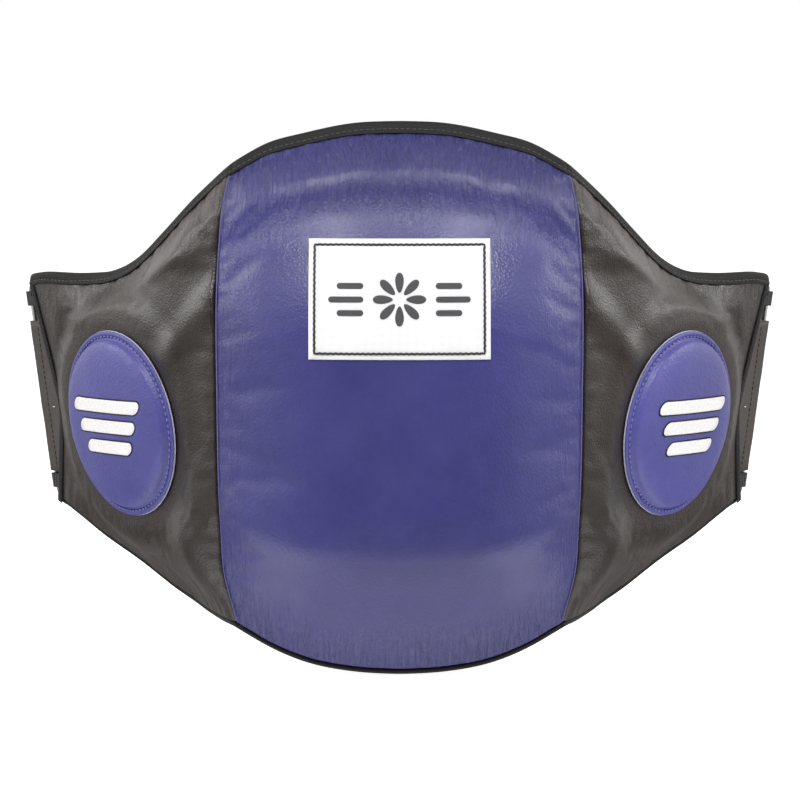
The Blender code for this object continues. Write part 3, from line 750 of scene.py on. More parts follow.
# Painted highlight: a lighter blue for the leather's edge strips beside the seams.
SEAM_EDGE_HIGHLIGHT = raw_hide("blue_cut_edge", (0.115, 0.115, 0.30))
NICKEL = metal("nickel", (0.78, 0.77, 0.74), 0.20)
WEBBING = woven("webbing", (0.016, 0.016, 0.018), 0.0016, 0.8, 0.0004)
ELASTIC = elastic_web("elastic", (0.020, 0.020, 0.023))
HOOK = pile("hook_tape", (0.014, 0.014, 0.016), 700, 0.0008)
LOOPS = pile("loop_tape", (0.020, 0.020, 0.022), 420, 0.0010)
BLUE_THREAD = thread("blue_thread", (0.13, 0.13, 0.40))
BLACK_THREAD = thread("black_thread", (0.022, 0.021, 0.023))
GREY_THREAD = thread("grey_thread", (0.075, 0.073, 0.075))
PALE_THREAD = thread("pale_thread", (0.62, 0.60, 0.56))


# ---- padded leather by cloth simulation

cloth_jobs = []


def pad_with_cloth(piece, freedom, cap, growth):
    """Queue a cover for the simulation.

    Freedom is each front point's share of free movement, the back is held, cap is how far a free
    point may end from its start, and growth is the share by which the leather is larger at rest.
    """
    freedom = np.stack([freedom, np.zeros_like(freedom)]).ravel()
    group = piece.vertex_groups.new(name=CLOTH["vertex_group_mass"])
    for level in range(11):
        members = np.nonzero(np.round(freedom * 10) == level)[0].tolist()
        if members:
            group.add(members, 1 - level / 10, "REPLACE")
    modifier = piece.modifiers.new("Cloth", "CLOTH")
    for name, value in CLOTH.items():
        setattr(modifier.settings, name, value)
    modifier.settings.shrink_min = -growth
    modifier.settings.effector_weights.gravity = 0
    modifier.collision_settings.use_collision = False
    start = np.array([vertex.co for vertex in piece.data.vertices])
    cloth_jobs.append((piece, start, freedom, cap))


def run_cloth():
    """Simulate every queued piece together, cap how far each point moves, and keep the result."""
    if not cloth_jobs:
        return
    scene = bpy.context.scene
    for number in range(1, CLOTH_FRAMES + 1):
        scene.frame_set(number)
    for piece, start, freedom, cap in cloth_jobs:
        bake_modifiers(piece)
        moved = np.array([vertex.co for vertex in piece.data.vertices]) - start
        length = np.linalg.norm(moved, axis=1)
        allowed = np.maximum(cap * freedom, 1e-9)
        share = np.tanh(length / allowed) * allowed / np.maximum(length, 1e-9)
        final = start + moved * share[:, None]
        piece.data.vertices.foreach_set("co", final.astype(np.float32).ravel())
        piece.vertex_groups.clear()
        piece.data.update()
    scene.frame_set(1)


# ---- centre panel

def seam_groove(distance, depth):
    return -depth * np.exp(-np.maximum(distance, 0) / GROOVE_WIDTH)


def centre_wrinkles(x, z):
    """How far the leather stands proud of the plain dome."""
    away = np.abs(x)
    from_top = centre_top(away) - z
    from_bottom = z - centre_bottom(away)
    from_seam = SEAM_X - away
    puckers = gathers((from_seam - 0.007, 0.009, z, 0.013, 2 + np.sign(x), 0.0003),
                      (from_seam, 0.022, z + 0.25 * from_seam, 0.034, 5, 0.0003),
                      (from_top - 0.012, 0.014, x, 0.016, 3, 0.0007),
                      (from_top - 0.030, 0.018, x + 0.2 * z, 0.041, 8, 0.0010),
                      (from_bottom - 0.012, 0.015, x, 0.015, 6, 0.0007),
                      (from_bottom - 0.034, 0.026, x - 0.15 * z, 0.038, 9, 0.0010))
    corner = bump(from_seam, 0.035) * (bump(from_bottom - 0.02, 0.05) + bump(from_top - 0.02, 0.05))
    drawn = corner * ripple(away * 0.8 + np.abs(z) * 0.6, 0.017, 4) * 0.0009
    slow = ripple(x + 0.3 * z, 0.19, 1) * ripple(z - 0.2 * x, 0.15, 7) * 0.0005
    low_roll = bump(from_bottom - 0.082, 0.028) * smoothstep((from_seam + 0.004) / 0.022)
    low_roll *= 0.0038 + 0.0040 * (x / SEAM_X) ** 2
    return puckers + drawn + slow + low_roll + seam_groove(from_seam, 0.0028)


def make_centre():
    """The padded cover and its lining, with thin edge strips beside the seams, coloured lighter than the
    leather as a painted highlight.
    """
    turn = pi / 2 * COLUMN_BUNCHING
    u = np.sin(np.linspace(-1, 1, CENTRE_STEPS + 1) * turn) / sin(turn)
    x = (u * SEAM_X)[:, None]
    shares = height_shares()[None, :]
    z = mix(centre_bottom(np.abs(x)), centre_top(np.abs(x)), shares)
    proud = centre_wrinkles(x + 0 * z, z)
    front = vectors(x * seam_line(z) / SEAM_X, -centre_depth(x, z) - proud, z)
    back = vectors(u[:, None] * BACK_HALF_WIDTH, -LINING - COVER_CLEAR, z)
    cover = slab("centre_leather", front, back, BLUE)
    inner = (1 - bump(1 - np.abs(u), 0.04))[:, None]
    pad_with_cloth(cover, inner * rim_freedom(0.05), cap=0.0018, growth=0.014)

    for side, name in SIDES:
        line = seam_point(side, np.linspace(0.006, 0.975, 90))
        line += vectors(-side * 0.0010, -0.0002, 0.0)
        # The strip is a real edge of the blue leather; its lighter colour is a painted highlight along the
        # seam.
        strip = tube(f"centre_{name}_seam_edge_highlight", line, SEAM_EDGE_RADIUS, SEAM_EDGE_HIGHLIGHT, sides=8)
        fasten(strip, "centre_panel", "blue_leather")

    coarse = back[::3, ::4] * (1, 0, 1)
    lining = slab("centre_lining_cloth", coarse - (0, LINING, 0), coarse, NYLON)
    return cover, lining


# ---- patch

def dome_samples(cover):
    """Depth of the finished leather on an even grid over the patch, smoothed as stiff cloth lies."""
    low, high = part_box("label_patch")
    tree = BVHTree.FromObject(cover, bpy.context.evaluated_depsgraph_get())
    x = np.linspace(low.x - PATCH_MARGIN, high.x + PATCH_MARGIN, PATCH_SAMPLES)
    z = np.linspace(low.z - PATCH_MARGIN, high.z + PATCH_MARGIN, PATCH_SAMPLES)
    depth = np.zeros((PATCH_SAMPLES, PATCH_SAMPLES))
    for i, px in enumerate(x):
        for j, pz in enumerate(z):
            hit = tree.ray_cast(Vector((px, -1.0, pz)), Vector((0, 1, 0)))[0]
            depth[i, j] = -hit.y
    smooth = depth.copy()
    for _ in range(6):
        even_out(smooth, 1)
        even_out(smooth.T, 1)
    return x, z, np.maximum(smooth, depth)


def patch_point(samples, x, z, lift):
    """A point at a lift above the leather under the patch."""
    grid_x, grid_z, depth = samples
    x, z = np.broadcast_arrays(np.asarray(x, dtype=float), np.asarray(z, dtype=float))
    u = np.clip((x - grid_x[0]) / (grid_x[1] - grid_x[0]), 0, PATCH_SAMPLES - 1.001)
    v = np.clip((z - grid_z[0]) / (grid_z[1] - grid_z[0]), 0, PATCH_SAMPLES - 1.001)
    i = u.astype(int)
    j = v.astype(int)
    low = mix(depth[i, j], depth[i, j + 1], v - j)
    high = mix(depth[i + 1, j], depth[i + 1, j + 1], v - j)
    return vectors(x, -mix(low, high, u - i) - lift, z)


def make_label(samples):
    """The woven patch with its stitched border and its mark."""
    low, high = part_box("label_patch")
    x = np.linspace(low.x, high.x, 45)[:, None]
    z = np.linspace(low.z, high.z, 31)[None, :]
    curl = 0.0003 * ripple(x, 0.05, 2) * ripple(z, 0.04, 3)
    front = patch_point(samples, x, z, LABEL_CLEAR + curl)
    back = patch_point(samples, x, z, curl * 0.2 - LABEL_EMBED)
    patch = slab("woven_patch", front, back, LABEL)
    fasten(patch, "centre_panel", "woven_label", "label_patch")

    path = []
    for (x0, z0), (x1, z1) in box_sides(low.x + BORDER_INSET, low.z + BORDER_INSET,
                                        high.x - BORDER_INSET, high.z - BORDER_INSET):
        length = abs(x1 - x0) + abs(z1 - z0)
        count = int(round(length / BORDER_STEP))
        for i in range(count):
            swing = BORDER_SWING * (1 if i % 2 else -1)
            px = mix(x0, x1, i / count) + (z1 - z0) / length * swing
            pz = mix(z0, z1, i / count) + (x0 - x1) / length * swing
            path.append(patch_point(samples, px, pz, LABEL_CLEAR + 0.0003))
    border = tube("patch_zigzag_stitching", path, BORDER_THREAD_RADIUS, BLACK_THREAD, sides=6, closed=True)
    fasten(border, "centre_panel", "edge_tape")
    make_label_mark(samples, (low.x + high.x) / 2, (low.z + high.z) / 2)


def rounded_bar(x, z, half, height, slant=0.0):
    """Outline of a bar with round ends."""
    outline = []
    straight = half - height
    for way in (1, -1):
        outline += [(x + way * straight * (i / 8 - 1), z - way * height) for i in range(16)]
        for i in range(12):
            angle = pi * i / 11 - pi / 2
            outline.append((x + way * (straight + height * cos(angle)), z + way * height * sin(angle)))
    return [(px + slant * (pz - z), pz) for px, pz in outline]


def raised_mark(name, outline, layers, point_at, material):
    """A mark on a surface: its outline at some shares of its size, each at its own lift."""
    outline = np.asarray(outline, dtype=float)
    middle = outline.mean(axis=0)
    rings = []
    for share, lift in layers:
        points = middle + (outline - middle) * share
        rings.append(point_at(points[:, 0], points[:, 1], lift))
    return sweep(name, rings, material)


def make_label_mark(samples, x, z):
    """A generic mark: an eight-leaf rosette between two sets of bars."""
    def on_label(px, pz, lift):
        return patch_point(samples, px, pz, LABEL_CLEAR + lift)

    outlines = []
    for k in range(8):
        turn = 2 * pi * k / 8
        leaf = []
        for i in range(16):
            angle = 2 * pi * i / 16
            along = 0.0118 + 0.0072 * cos(angle)
            across = 0.0030 * sin(angle) * (1 + 0.25 * cos(angle))
            leaf.append((x + along * cos(turn) - across * sin(turn),
                         z + along * sin(turn) + across * cos(turn)))
        outlines.append((f"leaf_{k + 1}", leaf))
    for side, name in SIDES:
        for k in range(3):
            half = 0.0125 - 0.0030 * abs(k - 1)
            bar = rounded_bar(x + side * (0.0255 + half), z + (k - 1) * 0.0095, half, 0.0021)
            outlines.append((f"bar_{name}_{k + 1}", bar))
    for label, outline in outlines:
        mark = raised_mark("patch_mark_" + label, outline, THREAD_MARK, on_label, MARK)
        fasten(mark, "centre_panel", "edge_tape")


# ---- wings

def wing_wrinkles(reach, z):
    """How far a wing's leather stands proud of its plain face."""
    from_top = wing_top(reach) - z
    from_bottom = z - wing_bottom(reach)
    puckers = gathers((from_top - 0.012, 0.011, reach, 0.014, 4, 0.0007),
                      (from_bottom - 0.012, 0.013, reach, 0.016, 6, 0.0005),
                      (reach - 0.004, 0.012, z, 0.019, 3, 0.0003))
    long_fold = ((z - 0.095) + 0.50 * (reach - 0.050), 0.0062, reach - 0.056, 0.040, 0.0020)
    hollow = ((z - 0.078) + 0.50 * (reach - 0.056), 0.013, reach - 0.056, 0.030, -0.0030)
    second = ((z - 0.064) * 0.62 + (reach - 0.018) * 0.78, 0.0115, z - 0.056, 0.040, 0.0048)
    beside_disc = (reach - 0.037 - 0.1 * z, 0.009, z + 0.010, 0.070, 0.0013)
    low_fold = ((z + 0.125) - 0.7 * (reach - 0.090), 0.012, reach - 0.090, 0.040, 0.0008)
    creases = folds(long_fold, hollow, second, beside_disc, low_fold)
    slow = ripple(reach + 0.4 * z, 0.085, 2) * ripple(z - 0.3 * reach, 0.075, 5) * 0.0004
    clear = smoothstep((np.hypot(reach - DISC_REACH, z - DISC_Z) - 0.071) / 0.010)
    return (puckers + creases + slow) * clear + seam_groove(reach, 0.0026)


def wing_grids(side):
    """Front and back grids of a wing's padded body, joined to the seam line."""
    shares = height_shares()[None, :]
    t = np.linspace(0, 1, WING_STEPS + 1)[:, None]
    along = mix(t, t * t, 0.25)
    end = wing_end(mix(wing_bottom(END_REACH), wing_top(END_REACH), shares))
    seam = seam_point(side, shares[0])[None, :, :]
    start = WING_MITRE * (SEAM_DEPTH + seam[..., 1])
    reach = mix(start, end, along)
    z = mix(wing_bottom(reach), wing_top(reach), shares)
    proud = wing_wrinkles(reach - start, z)
    front = wing_point(side, reach, z, face_depth(reach, z) - proud)
    plain_start = wing_point(side, start, z[:1], face_depth(start, z[:1]))
    front = front + (seam - plain_start) * seam_fade(reach - start)[..., None]

    back_start = WING_MITRE * SEAM_DEPTH
    back_reach = mix(back_start, end, along)
    back_z = mix(wing_bottom(back_reach), wing_top(back_reach), shares)
    depth = wing_thickness(back_reach) - LINING - COVER_CLEAR
    back = wing_point(side, back_reach, back_z, depth)
    corner = vectors(side * BACK_HALF_WIDTH, -LINING - COVER_CLEAR, seam[..., 2])
    back = back + (corner - back[:1]) * seam_fade(back_reach - back_start)[..., None]
    return front, back


def make_wing_body(side, name):
    """A wing's padded cover and its lining."""
    front, back = wing_grids(side)
    cover = slab(name + "_wing_leather", front, back, BLACK)
    t = np.linspace(0, 1, front.shape[0])[:, None]
    away = np.linalg.norm(front - disc_frame(side)[0], axis=-1)
    freedom = smoothstep(t / 0.06) * smoothstep((1 - t) / 0.10) * rim_freedom(0.06)
    freedom = freedom * smoothstep((away - DISC_RADIUS) / 0.02)
    pad_with_cloth(cover, freedom, cap=0.0012, growth=0.009)

    coarse = back[::2, ::4]
    inward = -outward_at(side, np.linspace(WING_MITRE * SEAM_DEPTH, END_REACH, coarse.shape[0]))[:, None, :]
    lining = slab(name + "_wing_lining_cloth", coarse, coarse + inward * LINING, NYLON)
    return cover, lining


# ---- edge tape and piping

def fold_section(front_at, back_at):
    """Section of a tape folded over an edge, from distances below it and lifts: outside, then inside."""
    up = np.array([0.0, 0.0, 1.0])
    steps = [TAPE_WIDTH, TAPE_WIDTH * 0.97, 0.0060, 0.0048, 0.0037, 0.0026, 0.0012]
    lifts = [0.0003, 0.0011, 0.0012, 0.0008, 0.0012, 0.0013, 0.0013]
    outside = [front_at(step, lift) for step, lift in zip(steps, lifts)]
    crest_front = front_at(0.0, 0.0010) + up * 0.0008
    crest_back = back_at(0.0, 0.0008) + up * 0.0008
    outside += [crest_front, (crest_front + crest_back) / 2 + up * 0.0006, crest_back]
    outside += [back_at(step, lift) for step, lift in zip(steps[::-1], lifts[::-1])]
    inside = [back_at(TAPE_WIDTH * 0.9, -0.0004), back_at(0.0004, -0.0006)]
    inside += [front_at(0.0004, -0.0006), front_at(TAPE_WIDTH * 0.9, -0.0006)]
    return np.array(outside + inside)


def tape_slope(depth_at, z):
    """How much deeper a face lies a step down from a height."""
    return (depth_at(z - 0.001) - depth_at(z)) / 0.001


def centre_tape_section(x):
    """Section of the top tape on the centre, lifted along the face's normal."""
    top = centre_top(abs(x))
    flat = x * seam_line(top) / SEAM_X
    seam_lift = SEAM_TAPE_LIFT * bump(SEAM_X - abs(x), 0.012)

    def front_at(below, lift):
        z = top - below
        slope = tape_slope(lambda level: centre_depth(x, level), z)
        out = np.array([0.0, -1.0, slope]) / np.hypot(1.0, slope)
        return np.array([flat, -centre_depth(x, z), z]) + out * (lift + seam_lift)

    def back_at(below, lift):
        return np.array([flat, lift, top - below])

    return fold_section(front_at, back_at)


def wing_tape_section(side, reach, shift):
    """Section of the top tape on a wing, with the seam's shift."""
    top = float(wing_top(reach))
    seam_lift = SEAM_TAPE_LIFT * bump(max(reach, 0.0), 0.012)

    def front_at(below, lift):
        z = top - below
        slope = tape_slope(lambda level: float(face_depth(reach, level)), z)
        depth = face_depth(reach, z) - (lift + seam_lift) / np.hypot(1.0, slope)
        return wing_point(side, reach, z, depth) + shift

    def back_at(below, lift):
        return wing_point(side, reach, top - below, wing_thickness(reach) + lift) + shift

    return fold_section(front_at, back_at)


def trim_run(share, edge, reaches_from, wing_section, centre_section, times):
    """A trim's sections along an edge, smoothed, as three lengths from left to right.

    Each length has its side, name, body, CAD name and sections. The share is the seam's
    height at that edge, 1 for the top and 0 for the bottom.
    """
    wings = []
    for side, _ in SIDES:
        start, shift = wing_corner(side, share, edge)
        wings.append([wing_section(side, reach, shift * seam_fade(reach - start))
                      for reach in reaches_from(start)])
    centre = [centre_section(x) for x in np.linspace(-SEAM_X, SEAM_X, 61)]
    run = np.array(wings[0][::-1] + centre + wings[1])
    even_out(run, times)
    first = len(wings[0])
    last = first + len(centre) - 1
    return ((-1, "left", "left_wing", "left_wing", run[:first + 1]),
            (0, "centre", "centre_panel", "centre", run[first:last + 1]),
            (1, "right", "right_wing", "right_wing", run[last:]))


def top_reaches(start):
    """Reaches along a wing's top edge, closer together round its corner."""
    corner = TOP_CORNER - CORNER_ROUND
    arc = corner + CORNER_ROUND * np.sin(np.linspace(0, 1.5, 9))
    return np.concatenate([np.linspace(start, corner, 54)[1:], arc[1:]])


def make_top_tape():
    """The binding folded over the top edge, with a row of stitches on each face."""
    run = trim_run(1.0, wing_top, top_reaches, wing_tape_section, centre_tape_section, 3)
    for side, name, body, part, stations in run:
        piece = sweep(name + "_top_tape", stations, TAPE)
        fasten(piece, body, "edge_tape", part + "_top_binding", seam=side)
        for face, k in (("front", 3), ("back", 13)):
            line = (stations[:, k - 1] + 2 * stations[:, k] + stations[:, k + 1]) / 4
            label = f"{name}_top_tape_{face}_stitching"
            row = stitches(label, line, GREY_THREAD, radius=TAPE_THREAD_RADIUS)
            fasten(row, body, "edge_tape", seam=side)


def wing_cord_point(side, reach, shift):
    depth = wing_thickness(reach) - WING_RIM * PIPING_SEAT
    return wing_point(side, reach, wing_bottom(reach) - PIPING_DROP, depth) + shift


def centre_cord_point(x):
    z = centre_bottom(abs(x))
    return np.array([x * seam_line(z) / SEAM_X, -RIM_DEPTH * PIPING_SEAT, z - PIPING_DROP])


def make_bottom_piping():
    """The thin cord sewn under the lower edge, from one wing's end to the other's."""
    def reaches(start):
        return np.linspace(start, PIPING_END, 56)[1:]

    run = trim_run(0.0, wing_bottom, reaches, wing_cord_point, centre_cord_point, 4)
    for side, name, body, part, points in run:
        piece = tube(name + "_bottom_cord", points, PIPING_RADIUS, TAPE, sides=12)
        fasten(piece, body, "edge_tape", part + "_bottom_piping", seam=side)


def make_end_tape(side, name):
    """The bound edge of the V notch at a wing's end."""
    profile = ((0.0052, 0.0002), (0.0050, 0.0011), (0.0036, 0.0013), (0.0026, 0.0010),
               (0.0012, 0.0014), (-0.0006, 0.0012), (-0.0016, 0.0002), (-0.0018, -0.0012),
               (-0.0010, -0.0026), (0.0010, -0.0028), (0.0020, -0.0006))
    low = wing_bottom(END_REACH) - 0.001
    high = wing_top(TOP_CORNER - 0.0003) + 0.001
    stations = []
    line = []
    for z in np.linspace(low, high, 60):
        end = float(wing_end(z))
        slope = float(wing_end(z + 0.001) - wing_end(z - 0.001)) / 0.002
        inward = np.array([-1.0, slope]) / np.hypot(1.0, slope)
        section = [wing_point(side, end + distance * inward[0], z + distance * inward[1], -lift)
                   for distance, lift in profile + ((0.0026, 0.0012),)]
        stations.append(section[:-1])
        line.append(section[-1])
    piece = sweep(name + "_notch_tape", stations, TAPE)
    fasten(piece, name + "_wing", "edge_tape", name + "_wing_end_binding")
    row = stitches(name + "_notch_stitching", line, BLACK_THREAD)
    fasten(row, name + "_wing", "edge_tape")


# ---- disc pads

def disc_wrinkles(radius, angle, height):
    """Small gathers where the dome meets the stitching."""
    gather = bump(radius - DISC_DOME_RADIUS + 0.003, 0.004) * ripple(angle * DISC_RADIUS, 0.012, 3)
    return height + 0.0003 * gather + 0.0003 * ripple(radius * np.cos(angle), 0.05, 2)


def dome_level(angle):
    """Height of the disc's dome at an angle up its section, from 0 at its foot."""
    return DISC_TOP + DOME_FOOT + (DISC_HEIGHT - DOME_FOOT - 0.0020) * np.sin(angle) ** DOME_FLATNESS


def on_dome(x, y, lift):
    """Points over the disc's leather, in the disc's own axes."""
    radius = np.minimum(np.hypot(x, y) / DISC_DOME_RADIUS, 0.999)
    return vectors(x, y, dome_level(np.arccos(radius ** (1 / DOME_ROUND))) + lift)


def finish_disc_piece(piece, place, name, slot, *nodes):
    piece.data.transform(place)
    fasten(piece, name + "_wing", slot, *[name + "_" + node for node in nodes])


def make_disc(side, name):
    """A disc pad: its pale backing, padded cover, stitching and printed mark."""
    centre, normal = disc_frame(side)
    turn = Vector(normal).to_track_quat("Z", "Y").to_matrix().to_4x4()
    place = Matrix.Translation(Vector(centre)) @ turn
    rim = [(DISC_RADIUS - inset, DISC_BASE + height) for inset, height in PALE_RIM]
    profile = [(0.0, DISC_BASE), *rim, (0.0, DISC_BASE + 0.0010)]
    pale = turned(name + "_disc_pale_edge", PALE_EDGE, 96, profile)
    finish_disc_piece(pale, place, name, "pale_hide", "disc_backing")

    rim = [(DISC_RADIUS - inset, DISC_TOP + height) for inset, height in LEATHER_RIM]
    angles = [pi / 2 * (i + 0.5) / 16 for i in range(16)]
    dome = [(DISC_DOME_RADIUS * cos(angle) ** DOME_ROUND, dome_level(angle)) for angle in angles]
    profile = [(0.0, DISC_TOP), *rim, *dome, (0.0, DISC_TOP + DISC_HEIGHT - 0.0020)]
    # The cover takes the lighter copy of the blue leather, which is painted light.
    cover = turned(name + "_disc_leather_painted_lighter", LIT_DISC_BLUE, 128, profile, disc_wrinkles)
    finish_disc_piece(cover, place, name, "blue_leather", "disc_cover", "disc_foam")

    ring = DISC_RADIUS - 0.0042
    angles = np.linspace(0, 2 * pi, 240, endpoint=False)
    circle = vectors(ring * np.cos(angles), ring * np.sin(angles), DISC_TOP + 0.0016)
    row = stitches(name + "_disc_stitching", circle, BLUE_THREAD, spacing=0.0046, length=0.0031,
                   radius=0.0008, closed=True)
    finish_disc_piece(row, place, name, "blue_leather")
    make_disc_mark(name, place)


def make_disc_mark(name, place):
    """A generic printed mark: three slanted bars, white on a dark outline."""
    up = place.to_3x3().inverted() @ Vector((0, 0, 1))
    upright = place @ Matrix.Rotation(np.arctan2(-up.x, up.y), 4, "Z")
    for layer, material, grow, lift in (("outline", PRINT_DARK, 0.0010, 0.00035),
                                        ("bar", PRINT_LIGHT, 0.0, 0.0006)):
        layers = [(1.0, -0.4 * lift)] + [(share, lift) for share in PRINT_SHARES]
        for k in range(3):
            half = 0.043 - 0.007 * k + grow
            outline = rounded_bar(0.0, (1 - k) * BAR_PITCH, half, 0.0048 + grow, slant=0.45)
            piece = raised_mark(f"{name}_disc_mark_{layer}_{k + 1}", outline, layers, on_dome, material)
            finish_disc_piece(piece, upright, name, "woven_label")


# ---- flap, tabs and ring

def wrap_path(root):
    """Centre line of a strip that wraps the ring's front bar, as (reach, depth) points."""
    bend = BAR_REACH - WRAP_BEND
    outer = [(mix(root, bend, i / 8), WRAP_DEPTH) for i in range(9)]
    turn = []
    for i in range(13):
        angle = pi / 2 - pi * i / 12
        turn.append((BAR_REACH + WRAP_RADIUS * cos(angle), BAR_DEPTH - WRAP_RADIUS * sin(angle)))
    inner = [(mix(bend, root, i / 8), WRAP_DEPTH + WRAP_GAP) for i in range(9)]
    return np.array(outer + turn + inner)


def both_faces(line, thickness):
    """A line's two offsets, half a thickness to each side."""
    along = np.gradient(line, axis=0)
    along /= np.linalg.norm(along, axis=1)[:, None]
    across = np.stack([-along[:, 1], along[:, 0]], axis=-1)
    return line + across * thickness / 2, line - across * thickness / 2


def wrap_grids(side, root, z, thickness, wave):
    """Faces of a strip from a root reach round the ring's bar and back."""
    grids = []
    for face in both_faces(wrap_path(root), thickness):
        reach = face[:, 0:1]
        free = smoothstep((reach - root) / 0.012)
        depth = face[:, 1:2] - wave * free * ripple(z, 0.045, 3 + side)
        grids.append(wing_point(side, reach, z, depth))
    return grids


def make_anchor(side, name):
    """The flap and the two web tabs that hold the ring, with the flap's stitching."""
    z = np.linspace(FLAP_BOTTOM, FLAP_TOP, 24)[None, :]
    grids = wrap_grids(side, NOTCH_REACH - 0.004, z, WRAP_THICKNESS, 0.0002)
    flap = slab(name + "_ring_flap", *grids, FLAP_HIDE)
    fasten(flap, name + "_wing", "black_leather", name + "_anchor_flap")
    for place, bottom in TABS:
        z = np.linspace(bottom, bottom + TAB_WIDTH, 6)[None, :]
        grids = wrap_grids(side, float(np.max(wing_end(z))) - 0.004, z, TAB_THICKNESS, 0.0)
        tab = slab(f"{name}_{place}_web_tab", *grids, WEBBING)
        fasten(tab, name + "_wing", "webbing", f"{name}_{place}_tab")

    z = np.linspace(FLAP_BOTTOM + 0.004, FLAP_TOP - 0.004, 40)
    line = wing_point(side, BAR_REACH - 0.0072, z, 0.0020)
    row = stitches(name + "_flap_stitching", line, BLACK_THREAD)
    fasten(row, name + "_wing", "edge_tape")
    knot = [wing_point(side, NOTCH_REACH + past, NOTCH_HEIGHT, 0.0018) for past in (0.014, 0.017)]
    spot = stitches(name + "_flap_bar_tack", knot, PALE_THREAD, spacing=0.003, radius=0.0006)
    fasten(spot, name + "_wing", "pale_hide")


def ring_frame(side):
    """Front bar's middle, bar direction, and the direction to the rear bar."""
    middle = Vector(wing_point(side, BAR_REACH, (RING_TOP + RING_BOTTOM) / 2, BAR_DEPTH))
    bar = Vector(outward_at(side, BAR_REACH)) * WING_LEAN + Vector((0, 0, 1))
    bar.normalize()
    heading = Vector((-side * sin(RING_HEADING), cos(RING_HEADING), 0))
    across = (heading - bar * heading.dot(bar)).normalized()
    return middle, bar, across


def make_ring(side, name):
    """A rectangular wire ring with round corners."""
    middle, bar, across = ring_frame(side)
    half = (RING_TOP - RING_BOTTOM) / 2 / bar.z
    path = []
    for column, row, start in ((0, 1, pi), (1, 1, pi / 2), (1, -1, 0), (0, -1, -pi / 2)):
        u = RING_CORNER if column == 0 else RING_WIDTH - RING_CORNER
        v = row * (half - RING_CORNER)
        for i in range(11):
            angle = start - pi / 2 * i / 10
            outward = across * cos(angle) + bar * sin(angle)
            path.append(middle + across * u + bar * v + outward * RING_CORNER)
    ring = tube(name + "_nickel_ring", path, BAR_RADIUS, NICKEL, sides=20, closed=True)
    fasten(ring, name + "_slot_ring", "nickel", name + "_ring")


# ---- back strap

def strap_point(side, along, height, out):
    """A point of a strap: along from the rear bar, height from its middle, out to the back."""
    middle, bar, across = ring_frame(side)
    centre = middle + across * RING_WIDTH
    slope = bar / bar.z
    shear = slope.x * height * (1 - smoothstep(along / SHEAR_FADE))
    return vectors(centre.x - side * along + shear, centre.y + out + slope.y * height, centre.z + height)


def strap_piece(side, name, label, node, faces, half, rows, material, slot):
    """A strap layer between two lines of (along, out) points, over the height of the strap."""
    heights = np.linspace(-half, half, rows)[None, :]
    grids = [strap_point(side, face[:, 0:1], heights, face[:, 1:2]) for face in faces]
    piece = slab(f"{name}_{label}", *grids, material)
    fasten(piece, name + "_strap", slot, f"{name}_{node}")


def flat_faces(start, end, near, far):
    """Two straight lines at levels near and far, the outer one first."""
    along = np.linspace(start, end, 24)
    return [np.stack([along, np.full(24, level)], axis=-1) for level in sorted((near, far))[::-1]]


def strap_stitches(side, name, label, start, end, half, out, inset=0.004):
    """A stitched rectangle on a strap's outer or inner face."""
    path = []
    for (a0, h0), (a1, h1) in box_sides(start + inset, -half + inset, end - inset, half - inset):
        path += [strap_point(side, mix(a0, a1, i / 20), mix(h0, h1, i / 20), out) for i in range(20)]
    row = stitches(f"{name}_{label}_stitching", path, BLACK_THREAD, closed=True)
    fasten(row, name + "_strap", "edge_tape")


def make_strap(side, name):
    """A strap half: leather loop on the ring, stretch web, leather panel, and fastener pad."""
    outer = -side
    middle, _, across = ring_frame(side)
    reach = abs((middle + across * RING_WIDTH).x) + STRAP_END_X
    half = STRAP_WIDTH / 2
    ply = ELASTIC_THICKNESS / 2 + 0.0003 + WRAP_THICKNESS / 2

    line = [(mix(LOOP_LENGTH, LOOP_BEND, i / 10), ply) for i in range(11)]
    for i in range(15):
        angle = pi / 2 + pi * i / 14
        line.append((WRAP_RADIUS * cos(angle), WRAP_RADIUS * sin(angle)))
    line += [(mix(LOOP_BEND, LOOP_LENGTH, i / 10), -ply) for i in range(11)]
    strap_piece(side, name, "strap_leather_loop", "strap_loop", both_faces(np.array(line), WRAP_THICKNESS),
                half, 20, BLACK, "black_leather")
    for label, out in (("loop_back", 1), ("loop_front", -1)):
        face = out * (ply + WRAP_THICKNESS / 2)
        strap_stitches(side, name, label, ELASTIC_START, LOOP_LENGTH, half, face)

    along = np.linspace(ELASTIC_START, ELASTIC_END, 40)
    level = np.interp(along, [LOOP_LENGTH + 0.004, PANEL_START - 0.006], [0.0, outer * 0.0010])
    faces = [np.stack([along, level + out * ELASTIC_THICKNESS / 2], axis=-1) for out in (1, -1)]
    strap_piece(side, name, "strap_stretch", "strap_elastic", faces, half - 0.002, 30, ELASTIC, "elastic")

    far = outer * (PANEL_INNER + PANEL_THICKNESS)
    faces = flat_faces(PANEL_START, reach, outer * PANEL_INNER, far)
    strap_piece(side, name, "strap_leather_panel", "strap_panel", faces, half, 24, BLACK, "black_leather")
    strap_stitches(side, name, "panel", PANEL_START, reach, half, far)
    lap_end = PANEL_START + LAP_LENGTH
    strap_stitches(side, name, "lap", PANEL_START, lap_end, half, far + outer * 0.0001, inset=0.006)

    if outer > 0:
        length, pad, material, slot = HOOK_LENGTH, "hook_pad", HOOK, "hook_tape"
    else:
        length, pad, material, slot = LOOP_PAD_LENGTH, "loop_pad", LOOPS, "loop_tape"
    end = reach - PAD_MARGIN
    faces = flat_faces(end - length, end, outer * PAD_INNER, outer * (PAD_INNER + PAD_THICKNESS))
    strap_piece(side, name, pad + "_pile", pad, faces, half - PAD_MARGIN, 24, material, slot)


# ---- studio

